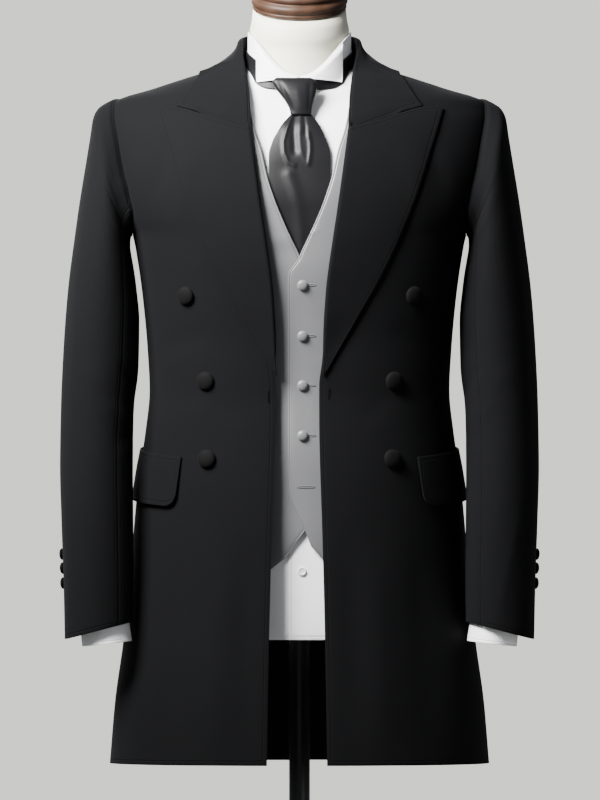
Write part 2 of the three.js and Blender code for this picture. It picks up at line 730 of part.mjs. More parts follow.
// Two rows of three covered buttons on the fronts, and three at the hind seam of each sleeve.
function coatButtons() {
  const rows = { left: (v) => v, right: flipped };
  Object.entries(rows).forEach(([side, place]) => {
    COAT_BUTTONS.forEach(({ x, z, out }, i) => {
      const spot = onCoatFront(x, z, out);
      button(`coat_button_${side}_${i + 1}`, place(spot), 11, 6.5, 'coatButton');
    });
    CUFF_BUTTONS.forEach((ring, i) => {
      const near = [ring - 0.05, ring, ring + 0.05].map((r) => sleeveRing(r, COAT_SEAM_POINTS));
      const normals = gridNormals(near, true, true);
      const column = SLEEVE_COLUMNS - 1;
      const normal = normals[1][column];
      const point = near[1][column].clone().addScaledVector(normal, 1.3);
      button(`cuff_button_${side}_${i + 1}`, place({ point, normal }), 7, 4.6, 'coatButton', 8);
    });
  });
}

// The waistcoat's outer face stands off the form, more in front, where the tie passes under it.
function waistcoatOut(angle) {
  const facing = Math.max(0, Math.cos(THREE.MathUtils.degToRad(angle)));
  return WAISTCOAT_OUT + TIE_ROOM * facing ** 2;
}

// The neck opening of the waistcoat: half its width, by height.
const VEE = table(['z', 'x'], [
  [1243, 1],
  [1281, 18.5],
  [1330, 37],
  [1360, 44],
  [1391, 54],
  [1421, 60],
  [1438, 68],
  [1449, 76],
]);
const WAISTCOAT_BUTTONED = 1218;
const WAISTCOAT_ROWS = [
  945, 1010, 1090, 1170, 1205, 1240, 1250, 1253, 1260, 1270, 1284, 1304, 1330, 1360, 1390, 1412, 1426, 1438, 1449,
];
const WAISTCOAT_POINT = { x: 44, z: 858 };
const WAISTCOAT_SIDE_HEM = 940;

// The lower edge of a waistcoat front, from its edge to the side seam, by the share of the way.
function waistcoatHem(share, atEdge) {
  const pointShare = 0.26;
  if (share < pointShare) return mix(atEdge, WAISTCOAT_POINT.z, share / pointShare);
  return mix(WAISTCOAT_POINT.z, WAISTCOAT_SIDE_HEM, ramp(share, pointShare, 1));
}

// Columns of a buttoned front: both edges of the overlap, then evenly to the side limit.
function frontAngles(body, edge, opening, limit, z, columns) {
  const wide = Math.max(edge, opening);
  const inner = angleAtWidth(body, wide, z);
  const shut = wide <= Math.abs(edge);
  const second = shut ? angleAtWidth(body, Math.abs(edge), z) : mix(inner, limit(z), 0.6 / columns);
  return [inner, ...steps(columns - 1).map((share) => mix(second, limit(z), share))];
}

// How much of a front's lap is left at an angle from the middle.
const settled = (angle) => 1 - ramp(angle, FRONT_SETTLES.from, FRONT_SETTLES.to);

function waistcoatFront({ edge, edgeHem, under }) {
  const limit = sideLimit(FORM, WAISTCOAT_ARMHOLE, 1250, 1438, false);
  const opening = (z) => (z <= WAISTCOAT_BUTTONED ? edge : mix(edge, VEE(Math.max(z, 1243)).x,
    ramp(z, WAISTCOAT_BUTTONED, 1243)));
  const columns = 6;
  const rows = [...WAISTCOAT_ROWS.slice(0, 5), WAISTCOAT_BUTTONED, 1243, ...WAISTCOAT_ROWS.slice(6)];
  return rows.map((z, r) => {
    const angles = frontAngles(FORM, edge, opening(z), limit, z, columns);
    return angles.map((angle, c) => {
      const low = r === 0 ? waistcoatHem(c / columns, edgeHem) : z;
      const lapped = under * settled(angle) * (1 - ramp(z, 1243, 1262));
      return onBody(FORM, angle, low, waistcoatOut(angle) - lapped);
    });
  });
}

// The left front is buttoned over the right. The back runs from side seam to side seam.
function waistcoat() {
  const left = waistcoatFront({ edge: TOP_PANEL_EDGE, edgeHem: 958, under: 0 });
  const right = waistcoatFront({ edge: -14, edgeHem: 925, under: WAISTCOAT_WALL + GAP });
  add('waistcoat_front_left', wall(left, WAISTCOAT_WALL), 'satin');
  add('waistcoat_front_right', wall(mirrored(right), WAISTCOAT_WALL), 'satin');
  const behind = sideLimit(FORM, WAISTCOAT_ARMHOLE, 1250, 1438, true);
  const back = panel({
    body: FORM,
    heights: WAISTCOAT_ROWS.filter((z) => z !== 1205),
    columns: 12,
    from: behind,
    to: (z) => 360 - behind(z),
    out: waistcoatOut,
  });
  add('waistcoat_back', wall(back, WAISTCOAT_WALL), 'satin');
  WAISTCOAT_BUTTONS.forEach((z, i) => {
    const angle = angleAtWidth(FORM, WAISTCOAT_BUTTON_X, z);
    const spot = onBody(FORM, angle, z, waistcoatOut(angle) + 0.5);
    button(`waistcoat_button_${i + 1}`, spot, 6.4, 4.6, 'satin');
  });
}

// The shirt hangs clear below the waistcoat.
const shirtOut = (z) => SHIRT_OUT + 7 * ramp(940 - z, 0, 160);
const SHIRT_ARM_ROWS = [1282, 1285, 1292, 1306, 1328, 1354, 1378, 1398, 1412];
const SHIRT_ARM_TOP = 1412;

// How far a point lies from the neck's upright line.
const fromNeck = (point) => Math.hypot(point.x, point.y - NECK_MID);

// The value at which a test stops holding, found by halving.
function lastWhere(holds, low, high) {
  let below = low;
  let above = high;
  for (let pass = 0; pass < 24; pass += 1) {
    const middle = (below + above) / 2;
    if (holds(middle)) below = middle;
    else above = middle;
  }
  return below;
}

// Where the shirt meets the collar band, by the angle round the form.
const neckline = (angle) => lastWhere(
  (z) => fromNeck(onBody(FORM, angle, z, SHIRT_OUT).point) > BAND.radius - BAND.wall / 2,
  SHIRT_ARM_TOP,
  1490,
);

// Where the shirt's surface lies below a point at an angle and distance from the neck's line.
function seat(angle, radius) {
  const turn = THREE.MathUtils.degToRad(angle);
  const x = radius * Math.sin(turn);
  const y = NECK_MID - radius * Math.cos(turn);
  return lastWhere((z) => {
    const s = FORM(z);
    const depth = (y < s.mid ? s.front : s.back) + SHIRT_OUT;
    return (Math.abs(x) / (s.side + SHIRT_OUT)) ** s.square + (Math.abs(y - s.mid) / depth) ** s.square < 1;
  }, 1400, 1500);
}

function shirtRows(columnsAt) {
  const level = [SHIRT_HEM, 860, 945, 1010, 1090, 1170, 1240, ...SHIRT_ARM_ROWS];
  const grid = level.map((z) => columnsAt(z).map((angle) => ({ angle, z })));
  const top = columnsAt(SHIRT_ARM_TOP);
  [0.35, 0.62, 0.82, 1].forEach((share) => {
    grid.push(top.map((angle) => ({ angle, z: mix(SHIRT_ARM_TOP, neckline(angle), share) })));
  });
  return grid;
}

function shirtBody() {
  const limit = (behind) => sideLimit(FORM, SHIRT_ARMHOLE, 1282, SHIRT_ARM_TOP, behind);
  const front = (edge, under) => shirtRows((z) => frontAngles(FORM, edge, edge, limit(false), z, 6))
    .map((row) => row.map(({ angle, z }) => (
      onBody(FORM, angle, z, shirtOut(z) - under * settled(angle)))));
  add('shirt_front_left', wall(front(PLACKET_EDGE, 0), SHIRT_WALL), 'shirt');
  add('shirt_front_right', wall(mirrored(front(PLACKET_EDGE, SHIRT_WALL + GAP)), SHIRT_WALL), 'shirt');
  const back = shirtRows((z) => steps(10).map((share) => mix(limit(true)(z), 360 - limit(true)(z), share)))
    .map((row) => row.map(({ angle, z }) => onBody(FORM, angle, z, shirtOut(z))));
  add('shirt_back', wall(back, SHIRT_WALL), 'shirt');
  const { x, z } = SHIRT_BUTTON;
  button('shirt_button', onBody(FORM, angleAtWidth(FORM, x, z), z, shirtOut(z) + GAP), 5.2, 2.4, 'shirt', 8);
}

// Level rings round the neck, between heights that fall towards the throat.
function neckRing(angle, z, radius) {
  const turn = THREE.MathUtils.degToRad(angle);
  return new THREE.Vector3(radius * Math.sin(turn), NECK_MID - radius * Math.cos(turn), z);
}

const facingFront = (angle) => 0.5 + 0.5 * Math.cos(THREE.MathUtils.degToRad(angle));
const bandBottom = (angle) => seat(angle, BAND.radius - BAND.wall) + 4 * GAP;
const bandTop = (angle) => mix(1510, 1455.5, facingFront(angle) ** 5.6);

// How far from the neck's middle a cloth's outer face lies over the form, in a direction at a height.
function reachOver(angle, z, out) {
  const turn = THREE.MathUtils.degToRad(angle);
  const s = FORM(z);
  const reach = lastWhere((far) => {
    const y = NECK_MID - far * Math.cos(turn);
    const depth = y < s.mid ? s.front : s.back;
    const across = Math.abs(far * Math.sin(turn)) / s.side;
    return across ** s.square + (Math.abs(y - s.mid) / depth) ** s.square < 1;
  }, 40, 130);
  const behind = NECK_MID - reach * Math.cos(turn) > s.mid;
  const { normal } = onBody(FORM, angleAtWidth(FORM, reach * Math.sin(turn), z, behind), z);
  return reach + out / Math.hypot(normal.x, normal.y);
}

// The tie's band follows the collar and lies over the shirt's slope in front.
function tieRadius(angle, z) {
  return Math.max(TIE_BAND.radius, reachOver(angle, z, SHIRT_OUT + TIE_BAND.wall + TIE_BAND.clear));
}

function neckBand({ from, to, columns, low, high, radius, thickness, rows }) {
  const points = steps(rows).map((up) => steps(columns).map((share) => {
    const angle = mix(from, to, share);
    const z = mix(low(angle), high(angle), up);
    return neckRing(angle, z, radius(angle, z));
  }));
  const grid = points.map((row) => row.map((point) => ({
    point,
    normal: new THREE.Vector3(point.x, point.y - NECK_MID, 0).normalize(),
  })));
  return wall(grid, thickness);
}

// The standing collar band, open by a hair at the throat, and its two turned wings.
function shirtCollar() {
  add('shirt_collar_band', neckBand({
    from: 1,
    to: 359,
    columns: 28,
    low: bandBottom,
    high: bandTop,
    radius: () => BAND.radius,
    thickness: BAND.wall,
    rows: 2,
  }), 'shirt');
  const wing = (sign) => {
    const rows = steps(3).map((down) => steps(5).map((across) => {
      const x = mix(WING_INNER.x, WING_OUTER.x, across);
      const angleAt = (radius) => THREE.MathUtils.radToDeg(Math.asin(x / radius));
      const fold = bandTop(angleAt(WING.fold)) - GAP;
      if (down === 0) return neckRing(sign * angleAt(WING.fold), fold, WING.fold);
      const z = mix(fold, mix(WING_INNER.end, WING_OUTER.end, across), down);
      const own = WING.radius + WING.flare * down;
      const radius = Math.max(own, tieRadius(angleAt(own), z) + SHIRT_WALL + 3 * GAP);
      return neckRing(sign * angleAt(radius), z, radius);
    }));
    const normals = gridNormals(rows, false, false);
    return rows.map((row, r) => row.map((point, c) => {
      const normal = normals[r][c];
      if (normal.dot(new THREE.Vector3(point.x, point.y, 0)) < 0) normal.negate();
      return { point, normal };
    }));
  };
  add('shirt_wing_left', wall(wing(1), SHIRT_WALL), 'shirt');
  add('shirt_wing_right', wall(wing(-1), SHIRT_WALL), 'shirt');
}

// Sleeve ends of the shirt: a plain tube inside each coat sleeve, and the cuff that shows below it.
const CUFF = table(['ring', 'outerX', 'outerZ', 'innerX', 'innerZ', 'depth', 'mid'], [
  [0, 267, 848, 206.5, 852, 38, -49],
  [1, 264, 810, 205, 814, 38, -53],
  [2, 260, 773, 200.5, 780, 38, -56],
]);

function cuffRing(ring) {
  const s = CUFF(ring);
  const outer = new THREE.Vector3(s.outerX, s.mid, s.outerZ);
  const inner = new THREE.Vector3(s.innerX, s.mid, s.innerZ);
  return Array.from({ length: SLEEVE_COLUMNS }, (_, column) => {
    const turn = (2 * Math.PI * column) / SLEEVE_COLUMNS;
    return outer.clone().lerp(inner, 0.5 - 0.5 * Math.cos(turn)).add(
      new THREE.Vector3(0, -s.depth * Math.sin(turn), 0),
    );
  });
}

function shirtSleeves() {
  const seamRows = [1282, 1285, 1292, 1299, 1306, 1328, 1354, 1378, 1398, 1406, SHIRT_ARM_TOP];
  const seam = armholeRing(FORM, SHIRT_ARMHOLE, seamRows, SHIRT_OUT, 2);
  const rings = [0, 1.5, 4, 6, 8, 10, 12.2].map((ring) => sleeveRing(ring, COAT_SEAM_POINTS, 9));
  const end = cuffRing(0).map((p) => p.clone().setZ(p.z + GAP));
  const everySecond = (row) => row.filter((_, column) => column % 2 === 0);
  const grid = sleeveGrid(everySecond(seam), [...rings, end].map(everySecond), SHIRT_WALL, 7 * GAP);
  add('shirt_sleeve_left', wall(grid, SHIRT_WALL, true), 'shirt');
  add('shirt_sleeve_right', wall(mirrored(grid), SHIRT_WALL, true), 'shirt');
  const cuffPoints = [0, 1, 2].map(cuffRing);
  const normals = gridNormals(cuffPoints, true, true);
  const cuff = cuffPoints.map((row, r) => row.map((point, c) => ({ point, normal: normals[r][c] })));
  add('shirt_cuff_left', wall(cuff, SHIRT_WALL, true), 'shirt');
  add('shirt_cuff_right', wall(mirrored(cuff), SHIRT_WALL, true), 'shirt');
}

// The tie's band lies round the collar band, under the wings, and falls towards the knot.
const TIE_EDGES = table(['angle', 'low', 'high'], [
  [0, 1437, 1448],
  [36, 1440.5, 1462],
  [46, 1446, 1469],
  [54, 1454, 1474],
  [64, 1462, 1479],
  [75, 1466.5, 1483],
  [90, 1470, 1487],
  [180, 1471, 1494],
]);

function tieBand() {
  const edges = (angle) => TIE_EDGES(Math.min(angle, 360 - angle));
  add('tie_band', neckBand({
    from: 12,
    to: 348,
    columns: 28,
    low: (angle) => edges(angle).low,
    high: (angle) => edges(angle).high,
    radius: tieRadius,
    thickness: TIE_BAND.wall,
    rows: 3,
  }), 'tie');
}

// Knot sections, from its top to its foot.
const KNOT = [
  { z: 1452.4, half: 22, mid: -7, front: -89.5, back: -84 },
  { z: 1448.5, half: 26, mid: -6.5, front: -92.5, back: -80.5 },
  { z: 1442, half: 25.5, mid: -4.5, front: -95.5, back: -77.6 },
  { z: 1434, half: 22, mid: -2, front: -98, back: -78 },
  { z: 1424, half: 16.8, mid: 0.3, front: -99.5, back: -81 },
  { z: 1415, half: 13.5, mid: 1.5, front: -100, back: -86 },
  { z: 1409, half: 12.5, mid: 2, front: -100, back: -90 },
];

function tieKnot() {
  const sides = 12;
  const rings = KNOT.map(({ z, half: wide, mid, front, back }) => Array.from({ length: sides }, (_, i) => {
    const turn = (2 * Math.PI * i) / sides;
    const middle = (front + back) / 2;
    const depth = (back - front) / 2;
    return new THREE.Vector3(mid + wide * Math.cos(turn), middle + depth * Math.sin(turn), z);
  }));
  add('tie_knot', skin(rings), 'tie');
}

// Blade sections below the knot: half width, how far it stands off the shirt, the dimple's depth
// and how far its middle lies to the left.
const BLADE = table(['z', 'half', 'off', 'dimple', 'mid'], [
  [1241, 21, 0.55, 0, 0],
  [1270, 33, 0.55, 0, 0],
  [1325, 36.5, 1.8, 0.4, 0],
  [1358, 36.5, 4, 1.6, 0],
  [1375, 32, 6, 3, 0],
  [1386, 26.5, 8, 4, 0.6],
  [1396, 20.5, 9.5, 3.4, 1.2],
  [1405.6, 12.5, 9, 1, 1.8],
]);
const BLADE_ROWS = [1241, 1256, 1280, 1305, 1328, 1345, 1360, 1373, 1386, 1394, 1400, 1405.6];

function tieBlade() {
  const rows = BLADE_ROWS.map((z) => steps(8).map((share) => {
    const b = BLADE(z);
    const across = mix(-1, 1, share);
    const x = b.mid + b.half * across;
    const chest = onBody(FORM, angleAtWidth(FORM, x, z), z, SHIRT_OUT + TIE_WALL);
    const pleat = b.dimple * (Math.cos(across * Math.PI * 2) - 1);
    return chest.point.add(new THREE.Vector3(0, -b.off * (1 - 0.35 * across ** 2) - pleat * 0.5, 0));
  }));
  const normals = gridNormals(rows, false, false);
  const grid = rows.map((row, r) => row.map((point, c) => ({ point, normal: normals[r][c] })));
  add('tie_blade', wall(grid, TIE_WALL), 'tie');
}

// The dress form: a smooth torso with its neck cut level with the tilted cap.
function torso() {
  const heights = [
    TORSO_BOTTOM, 945, 1010, 1090, 1170, 1240, 1300, 1350, 1386, 1400, 1410, 1418, 1428, 1436, 1443,
    1449, 1454, 1459, 1466, 1476, 1500,
  ];
  const columns = 20;
  const around = Array.from({ length: columns }, (_, i) => (360 * i) / columns);
  const rings = heights.map((z) => around.map((angle) => onBody(FORM, angle, z, -FORM_EASE).point.setZ(z)));
  const foot = rings[0];
  const middle = new THREE.Vector3(0, FORM(TORSO_BOTTOM).mid, TORSO_BOTTOM - 8);
  rings.unshift(foot.map((p) => p.clone().lerp(middle, 0.25).setZ(TORSO_BOTTOM - 8)));
  const top = around.map((angle) => {
    const p = onBody(FORM, angle, CAP_HEIGHT, -FORM_EASE).point;
    return p.setZ(CAP_HEIGHT - GAP + (p.y - NECK_MID) * Math.tan(CAP_TILT));
  });
  rings.push(top);
  add('form_torso', skin(rings), 'form');
}

// The turned wooden cap: radius and height of each point of its profile.
function cap() {
  const profile = [
    [0, 0], [52, 0.4], [56.4, 3.5], [56.2, 6.5], [57.6, 10], [57, 15.5], [53.4, 18], [55, 21.5], [53.6, 27],
    [46, 33], [28, 38.5], [0, 40],
  ].map(([r, h]) => new THREE.Vector2(r, h));
  const mesh = add('form_cap', joined(new THREE.LatheGeometry(profile, 22)), 'wood');
  mesh.rotation.x = Math.PI / 2 + CAP_TILT;
  mesh.position.set(0, NECK_MID, CAP_HEIGHT);
}

// The pole and the round base that it stands on.
function stand() {
  const length = TORSO_BOTTOM - 8 - GAP - BASE_HEIGHT - GAP;
  const pole = add('form_pole', joined(new THREE.CylinderGeometry(POLE_RADIUS, POLE_RADIUS, length, 16)), 'steel');
  pole.rotation.x = Math.PI / 2;
  pole.position.set(0, 0, BASE_HEIGHT + GAP + length / 2);
  const profile = [
    [0, 0], [BASE_RADIUS, 0], [BASE_RADIUS, BASE_HEIGHT - 4], [BASE_RADIUS - 4, BASE_HEIGHT], [0, BASE_HEIGHT],
  ].map(([r, h]) => new THREE.Vector2(r, h));
  const base = add('form_base', joined(new THREE.LatheGeometry(profile, 28)), 'steel');
  base.rotation.x = Math.PI / 2;
}

coatFronts();
coatBacks();
lapels();
collar();
coatSleeves();
flaps();
coatButtons();
waistcoat();
shirtBody();
shirtCollar();
shirtSleeves();
tieBand();
tieKnot();
tieBlade();
torso();
cap();
stand();

export default suit;
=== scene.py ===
# A morning suit worn by a limbless dress form: coat, waistcoat, shirt and tie.
# Lengths in the tables are millimetres, as on the patterns; every mesh is made in metres.
# The front faces -Y, so the wearer's left is +X.
import functools
import math

import bmesh
import bpy
from mathutils import Matrix, Vector


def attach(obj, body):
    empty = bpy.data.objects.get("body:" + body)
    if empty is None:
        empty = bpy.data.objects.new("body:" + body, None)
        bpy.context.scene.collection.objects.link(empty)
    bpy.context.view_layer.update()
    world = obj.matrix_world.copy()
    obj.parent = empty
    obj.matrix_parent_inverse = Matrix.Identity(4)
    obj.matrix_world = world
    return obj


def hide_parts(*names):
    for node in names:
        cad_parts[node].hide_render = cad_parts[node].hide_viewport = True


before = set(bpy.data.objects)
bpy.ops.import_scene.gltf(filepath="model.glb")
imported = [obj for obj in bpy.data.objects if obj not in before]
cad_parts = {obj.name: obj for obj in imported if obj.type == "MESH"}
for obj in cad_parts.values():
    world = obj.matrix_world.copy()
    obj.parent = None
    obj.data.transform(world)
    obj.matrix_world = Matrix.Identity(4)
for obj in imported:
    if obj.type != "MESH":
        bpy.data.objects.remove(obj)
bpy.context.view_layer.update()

# The studio: a level camera far in front, so that the frame holds 0.96 m of the suit's height.
# A soft lamp stands near and high at the left and throws most on the chest, a weak one stands at the
# right and one behind, over a plain pale floor.
VIEW_HEIGHT = 0.96
VIEW_MIDDLE = (0.0006, 1.068)
VIEW_DISTANCE = 20
SENSOR = 24
BACKDROP = (1.17, 1.185, 1.115, 1)
AMBIENT = (0.2, 0.205, 0.215, 1)
camera_data = bpy.data.cameras.new("camera")
camera_data.sensor_fit = "VERTICAL"
camera_data.sensor_height = SENSOR
camera_data.lens = SENSOR * VIEW_DISTANCE / VIEW_HEIGHT
camera = bpy.data.objects.new("camera", camera_data)
camera.location = (VIEW_MIDDLE[0], -VIEW_DISTANCE, VIEW_MIDDLE[1])
camera.rotation_euler = (math.pi / 2, 0, 0)
bpy.context.scene.collection.objects.link(camera)
bpy.context.scene.camera = camera

LAMPS = {
    "key": {"place": (-0.9, -0.95, 2.2), "size": 0.8, "watts": 56, "spread": 88, "colour": (1, 0.995, 0.98)},
    "fill": {"place": (2.4, -2.6, 1.5), "size": 1.8, "watts": 10, "spread": 180, "colour": (0.96, 0.98, 1)},
    "back": {"place": (-0.6, 2.8, 2.4), "size": 1.6, "watts": 60, "spread": 180, "colour": (1, 1, 1)},
}
LIT_POINT = Vector((-0.05, 0, 1.4))
for lamp_name, lamp in LAMPS.items():
    lamp_data = bpy.data.lights.new(lamp_name, "AREA")
    lamp_data.energy = lamp["watts"]
    lamp_data.size = lamp["size"]
    lamp_data.spread = math.radians(lamp["spread"])
    lamp_data.color = lamp["colour"]
    lamp_object = bpy.data.objects.new(lamp_name, lamp_data)
    lamp_object.location = lamp["place"]
    lamp_object.rotation_euler = (LIT_POINT - Vector(lamp["place"])).to_track_quat("-Z", "Y").to_euler()
    bpy.context.scene.collection.objects.link(lamp_object)


# Shader nodes: each is made with its plain values, and a wire joins one's output to another's input.
def fill(made, values):
    for entry, value in values.items():
        made.inputs[entry.replace("_", " ")].default_value = value


def node(tree, kind, **values):
    made = tree.nodes.new(f"ShaderNode{kind}")
    fill(made, values)
    return made


def wire(source, output, target, entry):
    source.id_data.links.new(source.outputs[output], target.inputs[entry])


world = bpy.data.worlds.new("studio")
world.use_nodes = True
bpy.context.scene.world = world
seen = node(world.node_tree, "LightPath")
tint = node(world.node_tree, "Mix")
tint.data_type = "RGBA"
fill(tint, {"A": AMBIENT, "B": BACKDROP})
wire(seen, "Is Camera Ray", tint, "Factor")
wire(tint, "Result", world.node_tree.nodes["Background"], "Color")

floor_mesh = bpy.data.meshes.new("studio_floor")
shape = bmesh.new()
bmesh.ops.create_grid(shape, x_segments=2, y_segments=2, size=2.1)
shape.to_mesh(floor_mesh)
shape.free()
floor = bpy.data.objects.new("studio_floor", floor_mesh)
bpy.context.scene.collection.objects.link(floor)


def finish(name, colour, roughness, **sockets):
    made = bpy.data.materials.new(name)
    made.use_nodes = True
    shader = made.node_tree.nodes["Principled BSDF"]
    fill(shader, {"Base Color": (*colour, 1), "Roughness": roughness, **sockets})
    return made, made.node_tree, shader


# A finish whose tone changes slowly over the surface, between a dark and a light.
def mottled(name, dark, light, roughness, scale, spot="Object", **sockets):
    made, tree, shader = finish(name, light, roughness, **sockets)
    place = node(tree, "TexCoord")
    noise = node(tree, "TexNoise", Scale=scale)
    tones = node(tree, "ValToRGB")
    tones.color_ramp.elements[0].color = (*dark, 1)
    tones.color_ramp.elements[1].color = (*light, 1)
    wire(place, spot, noise, "Vector")
    wire(noise, "Fac", tones, "Fac")
    wire(tones, "Color", shader, "Base Color")
    return made


floor_mesh.materials.append(mottled("pale_floor", (0.56, 0.562, 0.54), (0.62, 0.622, 0.6), 0.8, 3, "Generated"))

# The form's torso and neck: a smooth moulding in a cream cover, tucked in at its foot and cut level
# with the tilted cap. All the clothes hang on its sections, each at its own distance.
MM = 0.001
FORM_EASE = 2.4
NECK_MID = -12
TORSO_BOTTOM = 850
BOTTOM_TUCK = 0.94
BOTTOM_DROP = 8
CAP_HEIGHT = 1536
CAP_SEAM = 0.35
CAP_TILT = math.radians(16)
TORSO_COLUMNS = 88


# Pattern tables: named columns read by a smooth curve through their rows.
def table(names, rows):
    keys = [row[0] for row in rows]
    last = len(rows) - 1

    def slope(r, column, mean):
        if r <= 0 or r >= last:
            return mean
        before = (rows[r][column] - rows[r - 1][column]) / (keys[r] - keys[r - 1])
        after = (rows[r + 1][column] - rows[r][column]) / (keys[r + 1] - keys[r])
        return 0 if before * after <= 0 else 2 * before * after / (before + after)

    @functools.lru_cache(maxsize=None)
    def read(key):
        at = min(max(key, keys[0]), keys[last])
        row = 0
        while row < last - 1 and at > keys[row + 1]:
            row += 1
        span = keys[row + 1] - keys[row]
        t = (at - keys[row]) / span
        found = {}
        for column, name in enumerate(names):
            low, high = rows[row][column], rows[row + 1][column]
            mean = (high - low) / span
            s0, s1 = slope(row, column, mean), slope(row + 1, column, mean)
            found[name] = (
                low * (2 * t**3 - 3 * t**2 + 1) + s0 * span * (t**3 - 2 * t**2 + t)
                + high * (3 * t**2 - 2 * t**3) + s1 * span * (t**3 - t**2)
            )
        return found

    return read


FORM = table(["z", "side", "front", "back", "mid", "square"], [
    (780, 148, 96, 110, 8, 2.3),
    (850, 154, 100, 114, 8, 2.3),
    (920, 161, 104, 118, 8, 2.3),
    (1000, 153, 104, 110, 6, 2.3),
    (1080, 142, 100, 96, 4, 2.3),
    (1160, 150, 106, 98, 2, 2.3),
    (1240, 164, 115, 106, 0, 2.3),
    (1300, 176, 116, 110, 0, 2.3),
    (1350, 185, 108, 109, 0, 2.3),
    (1386, 191, 95, 105, 0, 2.25),
    (1400, 191, 87, 102, 0, 2.2),
    (1410, 187, 81, 99, 0, 2.15),
    (1418, 177, 76, 96, 0, 2.05),
    (1428, 158, 70, 92, -1, 1.9),
    (1436, 140, 65.5, 87, -2, 1.8),
    (1443, 118, 62.5, 81, -4, 1.7),
    (1449, 96, 60, 75, -6, 1.7),
    (1454, 80, 58, 69, -8, 1.75),
    (1459, 69, 56.5, 63, -10, 1.85),
    (1466, 61.5, 55.5, 58, -11, 1.95),
    (1476, 57, 55, 56, -12, 2),
    (1492, 56.4, 55, 55, -13, 2),
    (1503, 60.5, 57, 57, -13, 2),
    (1512, 62, 58, 58, -13, 2),
    (1524, 59.5, 56, 56, -14, 2),
    (1570, 56, 54, 54, -15, 2),
])


def ramp(value, low, high):
    t = min(max((value - low) / (high - low), 0), 1)
    return t * t * (3 - 2 * t)


def mix(a, b, share):
    return a + (b - a) * share


# Level sections round a body: half width, depth before and behind its side line, and roundness.
def on_body(body, angle, z, out=0.0):
    def point(turned, height):
        s = body(height)
        turn = math.radians(turned)
        power = 2 / s["square"]
        across = math.copysign(abs(math.sin(turn)) ** power, math.sin(turn))
        along = math.copysign(abs(math.cos(turn)) ** power, math.cos(turn))
        return Vector((s["side"] * across, s["mid"] - along * (s["front"] if along > 0 else s["back"]), height))

    step = 1.5
    round_it = point(angle + step, z) - point(angle - step, z)
    up = point(angle, z + step) - point(angle, z - step)
    normal = round_it.cross(up).normalized()
    return point(angle, z) + normal * out, normal


# Smooth steps between given heights, about as far apart as the spacing.
def spaced(heights, spacing):
    out = [heights[0]]
    for low, high in zip(heights, heights[1:]):
        count = max(1, round(abs(high - low) / spacing))
        out += [mix(low, high, (i + 1) / count) for i in range(count)]
    return out


torso_heights = spaced([850, 1386, 1410, 1436, 1459, 1476, 1500], 9) + [1512, 1524]


def torso_place(c, r):
    angle = 360 * c / TORSO_COLUMNS
    if r == 0:
        point = on_body(FORM, angle, TORSO_BOTTOM, -FORM_EASE)[0]
        return Vector((point.x * BOTTOM_TUCK, point.y * BOTTOM_TUCK + 0.5, TORSO_BOTTOM - BOTTOM_DROP))
    if r <= len(torso_heights):
        z = torso_heights[r - 1]
        point = on_body(FORM, angle, z, -FORM_EASE)[0]
        lean = ramp(z, 1476, CAP_HEIGHT) * (point.y - NECK_MID) * math.tan(CAP_TILT)
        return Vector((point.x, point.y, z + lean))
    point = on_body(FORM, angle, CAP_HEIGHT, -FORM_EASE)[0]
    return Vector((point.x, point.y, CAP_HEIGHT - CAP_SEAM + (point.y - NECK_MID) * math.tan(CAP_TILT)))


# A shaped piece: a flat grid whose points are set in place, with its true lengths kept for the weave
# and its distance from the nearest edge kept for seams and stitching.
def shell(name, columns, rows, place, outward, closed=False):
    shape = bmesh.new()
    weave = shape.loops.layers.uv.new("weave")
    rim = shape.verts.layers.float.new("rim")
    bmesh.ops.create_grid(shape, x_segments=columns, y_segments=rows, size=0.5)
    lattice = {}
    for vertex in shape.verts:
        key = (round((vertex.co.x + 0.5) * columns), round((vertex.co.y + 0.5) * rows))
        lattice[key] = vertex
    for (c, r), vertex in lattice.items():
        vertex.co = place(c, r) * MM
    lengths = {}
    for r in range(rows + 1):
        run = [0.0]
        for c in range(columns):
            run.append(run[-1] + (lattice[c + 1, r].co - lattice[c, r].co).length)
        for c in range(columns + 1):
            lengths[c, r] = [run[c] - run[-1] / 2, 0, min(run[c], run[-1] - run[c])]
    for c in range(columns + 1):
        run = [0.0]
        for r in range(rows):
            run.append(run[-1] + (lattice[c, r + 1].co - lattice[c, r].co).length)
        for r in range(rows + 1):
            lengths[c, r][1] = run[r]
            near = min(run[r], run[-1] - run[r])
            lengths[c, r][2] = near if closed else min(near, lengths[c, r][2])
    for key, vertex in lattice.items():
        vertex[rim] = lengths[key][2]
    keys = {vertex: key for key, vertex in lattice.items()}
    for face in shape.faces:
        for loop in face.loops:
            loop[weave].uv = lengths[keys[loop.vert]][:2]
    if closed:
        bmesh.ops.remove_doubles(shape, verts=shape.verts, dist=1e-5)
    shape.normal_update()
    facing = 0
    for face in shape.faces:
        facing += face.normal.dot(outward(face.calc_center_median() / MM)) * face.calc_area()
    if facing < 0:
        bmesh.ops.reverse_faces(shape, faces=shape.faces)
    return place_object(name, shape)


def place_object(name, shape):
    for face in shape.faces:
        face.smooth = True
    mesh = bpy.data.meshes.new(name)
    shape.to_mesh(mesh)
    shape.free()
    piece = bpy.data.objects.new(name, mesh)
    bpy.context.scene.collection.objects.link(piece)
    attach(piece, "root")
    return piece


def from_middle(point):
    return Vector((point.x, point.y, 0))


def finished(piece, made, node_name):
    piece.data.materials.append(made)
    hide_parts(node_name)


